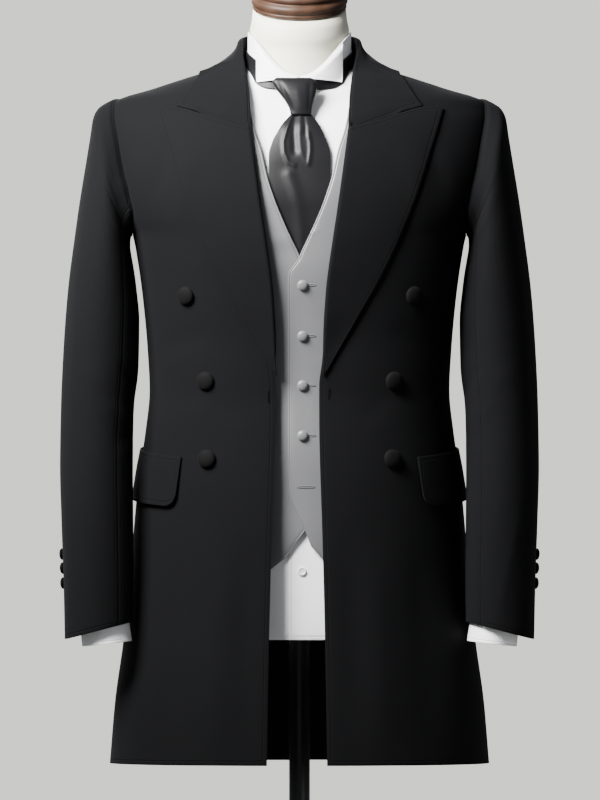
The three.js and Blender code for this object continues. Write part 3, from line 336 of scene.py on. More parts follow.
# Shared effects: the fine weave of a cloth, and slow changes of tone across a surface.
def group(name, inputs, outputs):
    made = bpy.data.node_groups.new(name, "ShaderNodeTree")
    for socket, kind, value in inputs:
        item = made.interface.new_socket(socket, in_out="INPUT", socket_type=kind)
        if value is not None:
            item.default_value = value
    for socket, kind in outputs:
        made.interface.new_socket(socket, in_out="OUTPUT", socket_type=kind)
    return made, made.nodes.new("NodeGroupInput"), made.nodes.new("NodeGroupOutput")


weave_group, into, out = group(
    "woven_threads",
    [("Vector", "NodeSocketVector", None), ("Threads", "NodeSocketFloat", 900.0), ("Slant", "NodeSocketFloat", 0.8),
     ("Unevenness", "NodeSocketFloat", 0.4)],
    [("Height", "NodeSocketFloat")],
)
slanted = node(weave_group, "VectorRotate")
slanted.rotation_type = "Z_AXIS"
wire(into, "Vector", slanted, "Vector")
wire(into, "Slant", slanted, "Angle")
lines = node(weave_group, "TexWave", Distortion=1.4, Detail=2, Detail_Scale=1.6)
lines.bands_direction = "X"
wire(slanted, "Vector", lines, "Vector")
wire(into, "Threads", lines, "Scale")
slubs = node(weave_group, "TexNoise", Detail=3)
wire(into, "Vector", slubs, "Vector")
wire(into, "Threads", slubs, "Scale")
both = node(weave_group, "Mix")
wire(into, "Unevenness", both, "Factor")
wire(lines, "Fac", both, "A")
wire(slubs, "Fac", both, "B")
wire(both, "Result", out, "Height")

tone_group, into, out = group(
    "slow_tone",
    [("Vector", "NodeSocketVector", None), ("Scale", "NodeSocketFloat", 6.0), ("Dark", "NodeSocketColor", None),
     ("Light", "NodeSocketColor", None), ("Threads", "NodeSocketFloat", 0.5), ("Share", "NodeSocketFloat", 0.2)],
    [("Color", "NodeSocketColor")],
)
patches = node(tone_group, "TexNoise", Detail=4)
wire(into, "Vector", patches, "Vector")
wire(into, "Scale", patches, "Scale")
shared = node(tone_group, "Mix")
wire(into, "Share", shared, "Factor")
wire(patches, "Fac", shared, "A")
wire(into, "Threads", shared, "B")
tones = node(tone_group, "Mix")
tones.data_type = "RGBA"
wire(shared, "Result", tones, "Factor")
wire(into, "Dark", tones, "A")
wire(into, "Light", tones, "B")
wire(tones, "Result", out, "Color")
STITCH_WIDTH = 1.1
STITCH_DEPTH = 0.4


# A woven cloth: threads give its fine relief, patches and threads its tone, and a stitched line
# runs beside the edges where the piece is sewn down.
def cloth_finish(name, dark, light, roughness, threads, relief, slant=0.8, uneven=0.4, patch=5.0, stitch=None,
                 **sockets):
    made, tree, shader = finish(name, light, roughness, **sockets)
    spot = node(tree, "UVMap")
    spot.uv_map = "weave"
    place = node(tree, "TexCoord")
    woven = node(tree, "Group")
    woven.node_tree = weave_group
    fill(woven, {"Threads": threads, "Slant": slant, "Unevenness": uneven})
    wire(spot, "UV", woven, "Vector")
    toned = node(tree, "Group")
    toned.node_tree = tone_group
    fill(toned, {"Scale": patch, "Dark": (*dark, 1), "Light": (*light, 1)})
    wire(place, "Object", toned, "Vector")
    wire(woven, "Height", toned, "Threads")
    wire(toned, "Color", shader, "Base Color")
    bump = node(tree, "Bump", Strength=1, Distance=relief * MM)
    wire(woven, "Height", bump, "Height")
    if stitch:
        edge = node(tree, "Attribute")
        edge.attribute_name = "rim"
        away = node(tree, "Math")
        away.operation = "SUBTRACT"
        away.inputs[1].default_value = stitch * MM
        wire(edge, "Fac", away, 0)
        near = node(tree, "Math")
        near.operation = "ABSOLUTE"
        wire(away, 0, near, 0)
        line = node(tree, "MapRange", From_Max=STITCH_WIDTH * MM)
        line.interpolation_type = "SMOOTHSTEP"
        wire(near, 0, line, "Value")
        sewn = node(tree, "Bump", Strength=1, Distance=STITCH_DEPTH * MM)
        wire(line, "Result", sewn, "Height")
        wire(bump, "Normal", sewn, "Normal")
        bump = sewn
    wire(bump, "Normal", shader, "Normal")
    return made


torso = shell("form_torso_cover", TORSO_COLUMNS, len(torso_heights) + 1, torso_place, from_middle, closed=True)
shape = bmesh.new()
shape.from_mesh(torso.data)
bmesh.ops.holes_fill(shape, edges=[e for e in shape.edges if e.is_boundary])
shape.to_mesh(torso.data)
shape.free()
cover = cloth_finish("cream_cover", (0.62, 0.61, 0.50), (0.70, 0.69, 0.59), 0.62, 700, 0.05, slant=0, uneven=0.7,
                     patch=9.0, Sheen_Weight=0.1)
finished(torso, cover, "form_torso")

# The cap: one block of brown wood turned on a lathe with a bead, a hollow and a flat crown.
# It is varnished, and sits tilted forward on the neck.
CAP_PROFILE = [
    (0, 0), (30, 0.2), (51, 0.4), (54.2, 1.1), (56.0, 2.6), (56.6, 4.4), (56.2, 5.9), (55.6, 6.7), (56.1, 7.6),
    (57.2, 9.2), (57.9, 11.5), (57.8, 13.8), (56.8, 15.9), (54.9, 17.4), (53.3, 18.4), (53.0, 19.4), (53.8, 20.6),
    (54.9, 22.2), (55.2, 24.2), (54.4, 26.6), (51.8, 29.4), (47.4, 32.2), (41, 34.9), (32, 37.4), (20, 39.2), (8, 39.9),
    (0, 40),
]


# Turned work: a profile, by radius and height, is spun round an upright axis and then set in place.
def turned(name, profile, steps, place=None):
    shape = bmesh.new()
    ring = [shape.verts.new((radius * MM, 0, height * MM)) for radius, height in profile]
    lines = [shape.edges.new(pair) for pair in zip(ring, ring[1:])]
    bmesh.ops.spin(shape, geom=ring + lines, cent=(0, 0, 0), axis=(0, 0, 1), angle=2 * math.pi, steps=steps,
                   use_merge=True)
    bmesh.ops.remove_doubles(shape, verts=shape.verts, dist=1e-6)
    bmesh.ops.recalc_face_normals(shape, faces=shape.faces)
    if place is not None:
        bmesh.ops.transform(shape, verts=shape.verts, matrix=place)
    return place_object(name, shape)


cap = turned("turned_cap", CAP_PROFILE, 96, Matrix.Translation((0, NECK_MID * MM, CAP_HEIGHT * MM))
             @ Matrix.Rotation(CAP_TILT, 4, "X"))
wood, tree, shader = finish("varnished_wood", (0.04, 0.02, 0.012), 0.5, Specular_IOR_Level=0.2, Coat_Weight=0.03,
                            Coat_Roughness=0.35)
place = node(tree, "TexCoord")
stretch = node(tree, "Mapping", Scale=(1, 3, 16))
rings = node(tree, "TexWave", Scale=14, Distortion=3, Detail=4)
grain = node(tree, "ValToRGB")
grain.color_ramp.elements[0].color = (0.034, 0.0165, 0.0095, 1)
grain.color_ramp.elements[1].color = (0.046, 0.0225, 0.0135, 1)
wire(place, "Object", stretch, "Vector")
wire(stretch, "Vector", rings, "Vector")
wire(rings, "Fac", grain, "Fac")
wire(grain, "Color", shader, "Base Color")
pores = node(tree, "Bump", Distance=0.15 * MM)
wire(rings, "Fac", pores, "Height")
wire(pores, "Normal", shader, "Normal")
finished(cap, wood, "form_cap")

# The stand: a steel tube in a flanged socket on a heavy round plate with a rounded rim.
# Both are in black satin paint, and the tube goes up into the torso's foot.
BASE_PROFILE = [(0, 0), (150, 0), (187, 0), (189.4, 0.9), (190, 3), (190, 7.6), (189.2, 10.2), (187, 11.6),
                (182, 12), (40, 12), (0, 12)]
POLE_PROFILE = [(0, 12.35), (24, 12.35), (25, 13), (25, 17), (23.5, 18.6), (16, 19.6), (14.6, 21), (14.2, 40),
                (12.9, 42), (12.5, 43), (12.5, 836), (12.2, 841), (0, 841.6)]
base = turned("base_plate", BASE_PROFILE, 96)
pole = turned("pole_tube", POLE_PROFILE, 48)
paint, tree, shader = finish("black_paint", (0.006, 0.006, 0.0065), 0.34)
place = node(tree, "TexCoord")
specks = node(tree, "TexNoise", Scale=240, Detail=3)
gloss = node(tree, "MapRange", To_Min=0.26, To_Max=0.44)
peel = node(tree, "Bump", Distance=0.1 * MM)
wire(place, "Object", specks, "Vector")
wire(specks, "Fac", gloss, "Value")
wire(gloss, "Result", shader, "Roughness")
wire(specks, "Fac", peel, "Height")
wire(peel, "Normal", shader, "Normal")
finished(base, paint, "form_base")
finished(pole, paint, "form_pole")

# The shirt: pressed white cotton, cut as two fronts, a back and two sleeves, buttoned left over right.
# Its tail hangs clear below the waistcoat.
SHIRT_OUT = 3.6
SHIRT_WALL = 1
SHIRT_HEM = 782
PLACKET_EDGE = -13
PLACKET_BAND = 5
PLACKET_RAISED = 0.45
GAP = 0.35
HALVINGS = 22
SHIRT_ARMHOLE = table(["z", "front", "back"], [
    (1282, 0, 0),
    (1285, 21, 21),
    (1292, 36, 36),
    (1304, 48, 47),
    (1324, 52, 50),
    (1350, 48, 46),
    (1376, 38, 36),
    (1398, 22, 20),
    (1412, 0, 0),
])
SHIRT_ARM_TOP = 1412
BAND_RADIUS = 62
BAND_WALL = 1.2
FRONT_SETTLES = (9, 18)
SHIRT_HIPS = 940
TAIL_FLARE = 7
shirt_heights = spaced([SHIRT_HEM, 945, 1170, 1282, 1285, 1292, 1306, 1328, 1378, 1398, SHIRT_ARM_TOP], 8)
shirt_shares = [0.07 * (i + 1) for i in range(13)] + [1]


def shirt_out(z):
    return SHIRT_OUT + TAIL_FLARE * ramp(SHIRT_HIPS - z, 0, 160)


def angle_at_width(body, x, z, behind=False):
    s = body(z)
    share = min(max(abs(x) / s["side"], 0), 1) ** (s["square"] / 2)
    angle = math.copysign(math.degrees(math.asin(share)), x)
    return 180 - angle if behind else angle


def angle_at_depth(body, depth, z, behind=False):
    s = body(z)
    share = (abs(depth) / (s["back"] if behind else s["front"])) ** (s["square"] / 2)
    angle = math.degrees(math.acos(min(max(share, 0), 1)))
    return 180 - angle if behind else angle


# The cloth's thickness lies on the inner side of its shell, and its cut edges are softened.
def thicken(piece, wall, edge=0.35):
    solid = piece.modifiers.new("wall", "SOLIDIFY")
    solid.thickness = wall * MM
    solid.offset = -1
    soft = piece.modifiers.new("edges", "BEVEL")
    soft.width = wall * edge * MM
    soft.segments = 2
    soft.limit_method = "ANGLE"
    soft.angle_limit = math.radians(55)


# Left pieces are shaped first, and right ones are the same point for point on the other side.
def flipped(vector, sign):
    return Vector((sign * vector.x, vector.y, vector.z))


def ridge(away, width, height):
    return height * math.exp(-((away / width) ** 2))


# How far soft creases move a surface: each runs from a to b, so wide, so deep, fading at its ends.
def creased(creases, a, b):
    moved = 0
    for (a0, b0), (a1, b1), width, depth in creases:
        length = math.hypot(a1 - a0, b1 - b0)
        along = ((a - a0) * (a1 - a0) + (b - b0) * (b1 - b0)) / length
        if -0.2 * length < along < 1.2 * length:
            off = ((a - a0) * (b1 - b0) - (b - b0) * (a1 - a0)) / length
            if abs(off) < 3.2 * width:
                fade = ramp(along, -0.15 * length, 0.3 * length) * (1 - ramp(along, 0.65 * length, 1.15 * length))
                moved += fade * ridge(off, width, depth)
    return moved


def side_limit(body, armhole, low, high, behind):
    def limit(z):
        depth = max(armhole(z)["back" if behind else "front"], GAP / 2) if low < z < high else GAP / 2
        return angle_at_depth(body, depth, z, behind)

    return limit


@functools.lru_cache(maxsize=None)
def shirt_neckline(angle):
    low, high = SHIRT_ARM_TOP, 1490
    for _ in range(HALVINGS):
        middle = (low + high) / 2
        point = on_body(FORM, angle, middle, SHIRT_OUT)[0]
        if math.hypot(point.x, point.y - NECK_MID) > BAND_RADIUS - BAND_WALL / 2:
            low = middle
        else:
            high = middle
    return low


def front_angles(body, edge, opening, limit, z):
    wide = max(edge, opening)
    inner = angle_at_width(body, wide, z)
    shut = wide <= abs(edge)
    second = angle_at_width(body, abs(edge), z) if shut else mix(inner, limit(z), 0.1)
    return inner, second


def lapped_angle(inner, second, outer, share, split):
    if share <= split:
        return mix(inner, second, share / split)
    return mix(second, outer, (share - split) / (1 - split))


SHIRT_FRONT_CREASES = [
    ((38, 1180), (48, 960), 9, 0.7),
    ((70, 1250), (60, 1060), 12, -0.9),
    ((12, 930), (20, 800), 6, -0.7),
    ((30, 900), (26, 790), 7, 0.8),
    ((90, 1390), (60, 1330), 8, 0.7),
]
SHIRT_BACK_CREASES = [
    ((150, 1330), (158, 1000), 7, -1.0),
    ((205, 1310), (196, 980), 7, -0.9),
    ((172, 1180), (176, 820), 5, 0.8),
    ((132, 1010), (140, 800), 6, 0.9),
    ((226, 960), (216, 800), 6, 0.9),
]
SHIRT_COLUMNS = 44
shirt_limits = {behind: side_limit(FORM, SHIRT_ARMHOLE, 1282, SHIRT_ARM_TOP, behind) for behind in (False, True)}


def shirt_front_place(sign, under):
    def place(c, r):
        top = r >= len(shirt_heights)
        z = SHIRT_ARM_TOP if top else shirt_heights[r]
        limit = shirt_limits[False]
        inner, second = front_angles(FORM, PLACKET_EDGE, PLACKET_EDGE, limit, z)
        angle = lapped_angle(inner, second, limit(z), c / SHIRT_COLUMNS, 0.2)
        if top:
            z = mix(SHIRT_ARM_TOP, shirt_neckline(round(angle, 4)), shirt_shares[r - len(shirt_heights)])
        lap = under * (1 - ramp(angle, *FRONT_SETTLES))
        point, normal = on_body(FORM, angle, z, shirt_out(z) - lap)
        width = abs(point.x)
        point = point + normal * creased(SHIRT_FRONT_CREASES, width, z) * ramp(width, 18, 26)
        if not under:
            past_band = point.x + PLACKET_EDGE - PLACKET_BAND
            point = point + normal * PLACKET_RAISED * (1 - ramp(past_band, -0.8, 0.8))
        return flipped(point, sign)

    return place


shirt_rows = len(shirt_heights) + len(shirt_shares) - 1
cotton = cloth_finish("white_cotton", (0.83, 0.84, 0.86), (0.91, 0.915, 0.925), 0.72, 1100, 0.06, slant=0, uneven=0.35,
                      patch=6.0, stitch=4, Sheen_Weight=0.08)
for side, sign, under in (("left", 1, 0), ("right", -1, SHIRT_WALL + GAP)):
    piece = shell(f"shirt_front_panel_{side}", SHIRT_COLUMNS, shirt_rows, shirt_front_place(sign, under), from_middle)
    thicken(piece, SHIRT_WALL)
    finished(piece, cotton, f"shirt_front_{side}")


def shirt_back_place(c, r):
    top = r >= len(shirt_heights)
    z = SHIRT_ARM_TOP if top else shirt_heights[r]
    limit = shirt_limits[True](z)
    angle = mix(limit, 360 - limit, c / (2 * SHIRT_COLUMNS))
    if top:
        z = mix(SHIRT_ARM_TOP, shirt_neckline(round(angle, 4)), shirt_shares[r - len(shirt_heights)])
    point, normal = on_body(FORM, angle, z, shirt_out(z))
    return point + normal * creased(SHIRT_BACK_CREASES, angle, z)


piece = shell("shirt_back_panel", 2 * SHIRT_COLUMNS, shirt_rows, shirt_back_place, from_middle)
thicken(piece, SHIRT_WALL)
finished(piece, cotton, "shirt_back")

# One pearly button shows on the shirt's placket below the waistcoat. It is turned with a rim and a
# dished middle, and sewn flat on the upper front.
SHIRT_BUTTON = (3, 864)
BUTTON_PROFILE = [(0, 0), (4.4, 0), (5.1, 0.5), (5.2, 1.2), (4.9, 1.9), (4.3, 2.2), (3.6, 1.9), (2.9, 1.5), (1.6, 1.4),
                  (0, 1.4)]


def set_at(point, normal):
    return Matrix.Translation(point * MM) @ normal.to_track_quat("Z", "Y").to_matrix().to_4x4()


spot = on_body(FORM, angle_at_width(FORM, *SHIRT_BUTTON), SHIRT_BUTTON[1], shirt_out(SHIRT_BUTTON[1]) + 0.8)
piece = turned("shirt_button_turned", BUTTON_PROFILE, 32, set_at(*spot))
pearl = mottled("pearl_button", (0.70, 0.69, 0.66), (0.88, 0.87, 0.85), 0.28, 260, Coat_Weight=0.3)
finished(piece, pearl, "shirt_button")

# The wing collar: a stiff standing band of starched cotton, open by a hair at the throat.
# Its two front corners are turned down over the tie as wings.
BAND_COLUMNS = 120
BAND_ROWS = 12
WING_FOLD = 63.6
WING_RADIUS = 66
WING_FLARE = 2.5
WING_INNER = (3, 1453.3)
WING_OUTER = (52, 1448.4)
WING_TURN = 5
WING_CLEAR = 0.9
WING_COLUMNS = 40
WING_ROWS = 24


def facing_front(angle):
    return 0.5 + 0.5 * math.cos(math.radians(angle))


@functools.lru_cache(maxsize=None)
def seat(angle, radius):
    turn = math.radians(angle)
    x = radius * math.sin(turn)
    y = NECK_MID - radius * math.cos(turn)
    low, high = 1400, 1500
    for _ in range(HALVINGS):
        middle = (low + high) / 2
        s = FORM(middle)
        depth = (s["front"] if y < s["mid"] else s["back"]) + SHIRT_OUT
        if (abs(x) / (s["side"] + SHIRT_OUT)) ** s["square"] + (abs(y - s["mid"]) / depth) ** s["square"] < 1:
            low = middle
        else:
            high = middle
    return low


def neck_point(angle, z, radius):
    turn = math.radians(angle)
    return Vector((radius * math.sin(turn), NECK_MID - radius * math.cos(turn), z))


# The wings fall over the tie's band, so its line comes first: round the collar, and over the shirt's
# slope in front.
TIE_RADIUS = 64.3
TIE_BAND_WALL = 1.8
TIE_EDGES = table(["angle", "low", "high"], [
    (0, 1437, 1448),
    (36, 1440.5, 1462),
    (46, 1446, 1469),
    (54, 1454, 1474),
    (64, 1462, 1479),
    (75, 1466.5, 1483),
    (90, 1470, 1487),
    (180, 1471, 1494),
])


def tie_radius(angle, z):
    return widest(TIE_RADIUS, reach_over(angle, z, SHIRT_OUT + TIE_BAND_WALL + 0.5))


def from_neck(point):
    return Vector((point.x, point.y - NECK_MID, 0))


def band_top(angle):
    return mix(1510, 1455.5, facing_front(angle) ** 5.6)


# How far from the neck's middle a cloth's outer face lies over the form, in a direction at a height.
@functools.lru_cache(maxsize=None)
def reach_over(angle, z, out):
    s = FORM(z)
    turn = math.radians(angle)
    near, far = 40, 130
    for _ in range(HALVINGS):
        middle = (near + far) / 2
        y = NECK_MID - middle * math.cos(turn)
        depth = s["front"] if y < s["mid"] else s["back"]
        across = abs(middle * math.sin(turn)) / s["side"]
        if across ** s["square"] + (abs(y - s["mid"]) / depth) ** s["square"] < 1:
            near = middle
        else:
            far = middle
    behind = NECK_MID - near * math.cos(turn) > s["mid"]
    normal = on_body(FORM, angle_at_width(FORM, near * math.sin(turn), z, behind), z)[1]
    return near + out / math.hypot(normal.x, normal.y)


def widest(a, b):
    return 0.5 * (a + b + math.hypot(a - b, 1.2))


def band_place(c, r):
    angle = mix(1, 359, c / BAND_COLUMNS)
    low = seat(round(angle, 3), BAND_RADIUS - BAND_WALL) + 4 * GAP
    return neck_point(angle, mix(low, band_top(angle), r / BAND_ROWS), BAND_RADIUS)


starched = cloth_finish("starched_cotton", (0.88, 0.885, 0.89), (0.93, 0.93, 0.935), 0.5, 1300, 0.04, slant=0,
                        uneven=0.3, patch=8.0, stitch=3, Sheen_Weight=0.05)
band = shell("shirt_collar_stand", BAND_COLUMNS, BAND_ROWS, band_place, from_neck)
thicken(band, BAND_WALL, 0.4)
finished(band, starched, "shirt_collar_band")


def wing_place(sign):
    def place(c, r):
        x, end = mix(WING_INNER[0], WING_OUTER[0], c / WING_COLUMNS), mix(WING_INNER[1], WING_OUTER[1], c / WING_COLUMNS)
        down = r / WING_ROWS
        radius = WING_FOLD
        for _ in range(4):
            angle = math.degrees(math.asin(x / radius))
            fold = band_top(angle) - GAP
            z = mix(fold, end, down)
            fallen = min(1, (fold - z) / WING_TURN)
            radius = mix(WING_FOLD, WING_RADIUS, math.sqrt(fallen)) + WING_FLARE * down
            over_tie = tie_radius(round(angle, 2), round(z, 2)) + SHIRT_WALL + WING_CLEAR
            radius = mix(radius, widest(radius, over_tie), fallen)
        return neck_point(sign * angle, z, radius)

    return place


for side, sign in (("left", 1), ("right", -1)):
    piece = shell(f"shirt_wing_turned_{side}", WING_COLUMNS, WING_ROWS, wing_place(sign), from_neck)
    thicken(piece, SHIRT_WALL, 0.4)
    finished(piece, starched, f"shirt_wing_{side}")

# The tie: black satin, folded in layers. A narrow band goes round the collar to a small wrapped knot,
# and the blade's pleats fan out below it and lie under the waistcoat.
TIE_WALL = 2.4
TIE_BAND_COLUMNS = 120
TIE_BAND_ROWS = 10


def tie_band_place(c, r):
    angle = mix(12, 348, c / TIE_BAND_COLUMNS)
    edges = TIE_EDGES(min(angle, 360 - angle))
    across = r / TIE_BAND_ROWS
    soft = 0.5 * (1 - math.sin(math.pi * across))
    z = mix(edges["low"], edges["high"], across)
    return neck_point(angle, z, tie_radius(round(angle, 2), round(z, 2)) - soft)


silk = cloth_finish("black_satin", (0.004, 0.004, 0.0045), (0.008, 0.008, 0.009), 0.38, 1500, 0.012, slant=0.9,
                    uneven=0.25, patch=20.0, Specular_IOR_Level=0.14, Sheen_Weight=0.03, Sheen_Roughness=0.35,
                    Sheen_Tint=(0.5, 0.5, 0.52, 1))
piece = shell("tie_band_strip", TIE_BAND_COLUMNS, TIE_BAND_ROWS, tie_band_place, from_neck)
thicken(piece, TIE_BAND_WALL, 0.4)
finished(piece, silk, "tie_band")

KNOT = table(["down", "half", "front", "back", "mid"], [
    (1409, 12.5, -100, -90, 2),
    (1415, 13.5, -100, -86, 1.5),
    (1424, 16.8, -99.5, -81, 0.3),
    (1434, 22, -98, -78, -2),
    (1442, 25.5, -95.5, -77.6, -4.5),
    (1448.5, 26, -92.5, -80.5, -6.5),
    (1452.4, 22, -89.5, -84, -7),
])
KNOT_CREASES = [
    ((-24, 1448), (-7, 1411), 2.2, -1.7),
    ((12.5, 1449), (11, 1411), 2.2, -1.3),
    ((-3, 1443), (3, 1410), 4, 0.5),
]
KNOT_COLUMNS = 64
KNOT_MIDDLE = -88
knot_heights = spaced([1409, 1448.5, 1452.4], 1.6)


def knot_place(c, r):
    s = KNOT(knot_heights[r])
    turn = 2 * math.pi * c / KNOT_COLUMNS
    across = math.copysign(abs(math.cos(turn)) ** 0.85, math.cos(turn))
    depth = math.copysign(abs(math.sin(turn)) ** 0.85, math.sin(turn))
    point = Vector((s["mid"] + s["half"] * across, mix(s["front"], s["back"], 0.5 + 0.5 * depth), knot_heights[r]))
    if depth < 0:
        point.y -= creased(KNOT_CREASES, point.x, point.z) * abs(depth)
    return point


def from_knot(point):
    return Vector((point.x, point.y - KNOT_MIDDLE, 0))


knot = shell("tie_knot_wrapped", KNOT_COLUMNS, len(knot_heights) - 1, knot_place, from_knot, closed=True)
shape = bmesh.new()
shape.from_mesh(knot.data)
caps = bmesh.ops.holes_fill(shape, edges=[e for e in shape.edges if e.is_boundary])["faces"]
bmesh.ops.inset_region(shape, faces=caps, thickness=0.002, depth=0.0008)
shape.to_mesh(knot.data)
shape.free()
finished(knot, silk, "tie_knot")

BLADE = table(["z", "half", "off", "mid"], [
    (1241, 21, 0.55, 0),
    (1270, 33, 0.55, 0),
    (1325, 36.5, 1.8, 0),
    (1358, 36.5, 4, 0),
    (1375, 32, 6, 0),
    (1386, 26.5, 8, 0.6),
    (1396, 20.5, 9.5, 1.2),
    (1405.6, 12.5, 9, 1.8),
])
# Pleats under the knot: lines that swell out or sink in below it, by points, half width and height.
BLADE_COLUMNS = 56
BLADE_ROUND = 0.35
BLADE_PLEATS = [
    ([(-6, 1409), (-11, 1399), (-15.5, 1388), (-19, 1374), (-18, 1361), (-13, 1350), (-6, 1346.5)], 2.2, 1.4),
    ([(10.5, 1384), (12.5, 1374), (13, 1364), (11, 1349)], 2.4, 1.3),
    ([(0, 1386), (0.5, 1372), (3, 1360), (7, 1352)], 2.6, 0.4),
    ([(-12, 1335), (-6, 1318), (-1, 1296), (2, 1268), (3, 1250)], 7, 1.5),
    ([(-5, 1405), (-7, 1385), (-6, 1364)], 4.5, -2.2),
    ([(5, 1404), (7, 1385)], 2.8, -1.2),
]


def pleated(x, z):
    rise = 0
    for line, width, height in BLADE_PLEATS:
        best = math.inf
        for (ax, az), (bx, bz) in zip(line, line[1:]):
            span = (bx - ax) ** 2 + (bz - az) ** 2
            t = min(max(((x - ax) * (bx - ax) + (z - az) * (bz - az)) / span, 0), 1)
            best = min(best, math.hypot(x - mix(ax, bx, t), z - mix(az, bz, t)))
        rise += ridge(best, width, height)
    return rise


blade_heights = spaced([1241, 1345, 1405.6], 2.2)


def blade_place(c, r):
    z = blade_heights[r]
    s = BLADE(z)
    across = mix(-1, 1, c / BLADE_COLUMNS)
    x = s["mid"] + s["half"] * across
    chest = on_body(FORM, angle_at_width(FORM, x, z), z, SHIRT_OUT + TIE_WALL)[0]
    edge = 1 - ramp(abs(across), 0.86, 1)
    chest.y -= s["off"] * (1 - BLADE_ROUND * across**2) + pleated(x, z) * edge
    return chest


def forwards(point):
    return Vector((0, -1, 0))


piece = shell("tie_blade_pleated", BLADE_COLUMNS, len(blade_heights) - 1, blade_place, forwards)
thicken(piece, TIE_WALL, 0.45)
finished(piece, silk, "tie_blade")

# The waistcoat: light grey satin in two fronts and a back, joined at the sides and shoulders.
# It is buttoned left over right and pointed at the hem.
WAISTCOAT_OUT = 8.2
WAISTCOAT_WALL = 1.6
TIE_ROOM = 4
WAISTCOAT_EDGES = {"left": -13.5, "right": -14}
WAISTCOAT_EDGE_HEMS = {"left": 958, "right": 925}
WAISTCOAT_ARMHOLE = table(["z", "front", "back"], [
    (1250, 0, 0),
    (1253, 24, 24),
    (1260, 44, 44),
    (1280, 66, 64),
    (1310, 76, 72),
    (1345, 74, 70),
    (1380, 62, 60),
    (1405, 46, 48),
    (1424, 28, 30),
    (1438, 0, 0),
])
VEE = table(["z", "x"], [
    (1243, 1),
    (1281, 18.5),
    (1330, 37),
    (1360, 44),
    (1391, 54),
    (1421, 60),
    (1438, 68),
    (1449, 76),
])
WAISTCOAT_BUTTONED = 1218
VEE_FOOT = 1243
WAISTCOAT_ARMPIT = 1250
WAISTCOAT_SHOULDER = 1438
WAISTCOAT_POINT = 858
POINT_SHARE = 0.26
WAISTCOAT_SIDE_HEM = 940
WAISTCOAT_CREASES = [
    ((30, 1190), (62, 1160), 9, 0.7),
    ((24, 1120), (58, 1108), 8, 0.8),
    ((26, 1064), (60, 1052), 8, -0.6),
    ((24, 1010), (46, 985), 8, 0.7),
    ((70, 1350), (84, 1240), 12, 0.9),
    ((96, 1230), (88, 1010), 12, 0.9),
    ((52, 1225), (48, 960), 10, -0.6),
]
waistcoat_heights = spaced(
    [945, 1010, 1205, WAISTCOAT_BUTTONED, VEE_FOOT, WAISTCOAT_ARMPIT, 1253, 1260, 1284, 1412, 1426,
     WAISTCOAT_SHOULDER, 1449], 6)
LOW_ROWS = waistcoat_heights.index(1010)
WAISTCOAT_COLUMNS = 48


def waistcoat_out(angle):
    return WAISTCOAT_OUT + TIE_ROOM * max(0, math.cos(math.radians(angle))) ** 2


def waistcoat_hem(share, at_edge):
    if share < POINT_SHARE:
        return mix(at_edge, WAISTCOAT_POINT, share / POINT_SHARE)
    return mix(WAISTCOAT_POINT, WAISTCOAT_SIDE_HEM, ramp(share, POINT_SHARE, 1))


waistcoat_front_limit = side_limit(FORM, WAISTCOAT_ARMHOLE, WAISTCOAT_ARMPIT, WAISTCOAT_SHOULDER, False)
waistcoat_back_limit = side_limit(FORM, WAISTCOAT_ARMHOLE, WAISTCOAT_ARMPIT, WAISTCOAT_SHOULDER, True)


def waistcoat_front_place(sign, edge, edge_hem, under):
    def place(c, r):
        z = waistcoat_heights[r]
        opening = edge if z <= WAISTCOAT_BUTTONED else mix(
            edge, VEE(max(z, VEE_FOOT))["x"], ramp(z, WAISTCOAT_BUTTONED, VEE_FOOT))
        share = c / WAISTCOAT_COLUMNS
        inner, second = front_angles(FORM, edge, opening, waistcoat_front_limit, z)
        outer = waistcoat_front_limit(z)
        angle = lapped_angle(inner, second, outer, share, 1 / 6)
        low = z
        if r <= LOW_ROWS:
            low = mix(waistcoat_hem(share, edge_hem), waistcoat_heights[LOW_ROWS], r / LOW_ROWS)
        lap = under * (1 - ramp(angle, *FRONT_SETTLES)) * (1 - ramp(z, VEE_FOOT, 1262))
        point, normal = on_body(FORM, angle, low, waistcoat_out(angle) - lap)
        width = abs(point.x)
        point = point + normal * creased(WAISTCOAT_CREASES, width, low) * ramp(width, 18, 30)
        return flipped(point, sign) - normal * ridge(c, 1.6, 0.5)

    return place


satin = cloth_finish("grey_satin", (0.088, 0.0885, 0.0925), (0.108, 0.109, 0.114), 0.42, 1400, 0.02, slant=0.9,
                     uneven=0.3, patch=7.0, stitch=2.5, Specular_IOR_Level=0.6, Sheen_Weight=0.2,
                     Sheen_Roughness=0.4)
for side, sign, under in (("left", 1, 0), ("right", -1, WAISTCOAT_WALL + GAP)):
    shaped = waistcoat_front_place(sign, WAISTCOAT_EDGES[side], WAISTCOAT_EDGE_HEMS[side], under)
    piece = shell(f"waistcoat_panel_{side}", WAISTCOAT_COLUMNS, len(waistcoat_heights) - 1, shaped, from_middle)
    thicken(piece, WAISTCOAT_WALL, 0.4)
    finished(piece, satin, f"waistcoat_front_{side}")

WAISTCOAT_BACK_CREASES = [
    ((150, 1180), (170, 1120), 8, -0.9),
    ((212, 1175), (190, 1110), 8, -0.9),
    ((140, 1080), (168, 1060), 8, 0.8),
    ((220, 1075), (194, 1060), 8, 0.8),
    ((165, 1320), (172, 1180), 6, 0.9),
    ((196, 1300), (188, 1160), 6, -0.8),
]


def waistcoat_back_place(c, r):
    z = waistcoat_heights[r]
    limit = waistcoat_back_limit(z)
    angle = mix(limit, 360 - limit, c / (2 * WAISTCOAT_COLUMNS))
    point, normal = on_body(FORM, angle, z, waistcoat_out(angle))
    return point + normal * (creased(WAISTCOAT_BACK_CREASES, angle, z) + ridge(point.x, 1.6, -0.8))


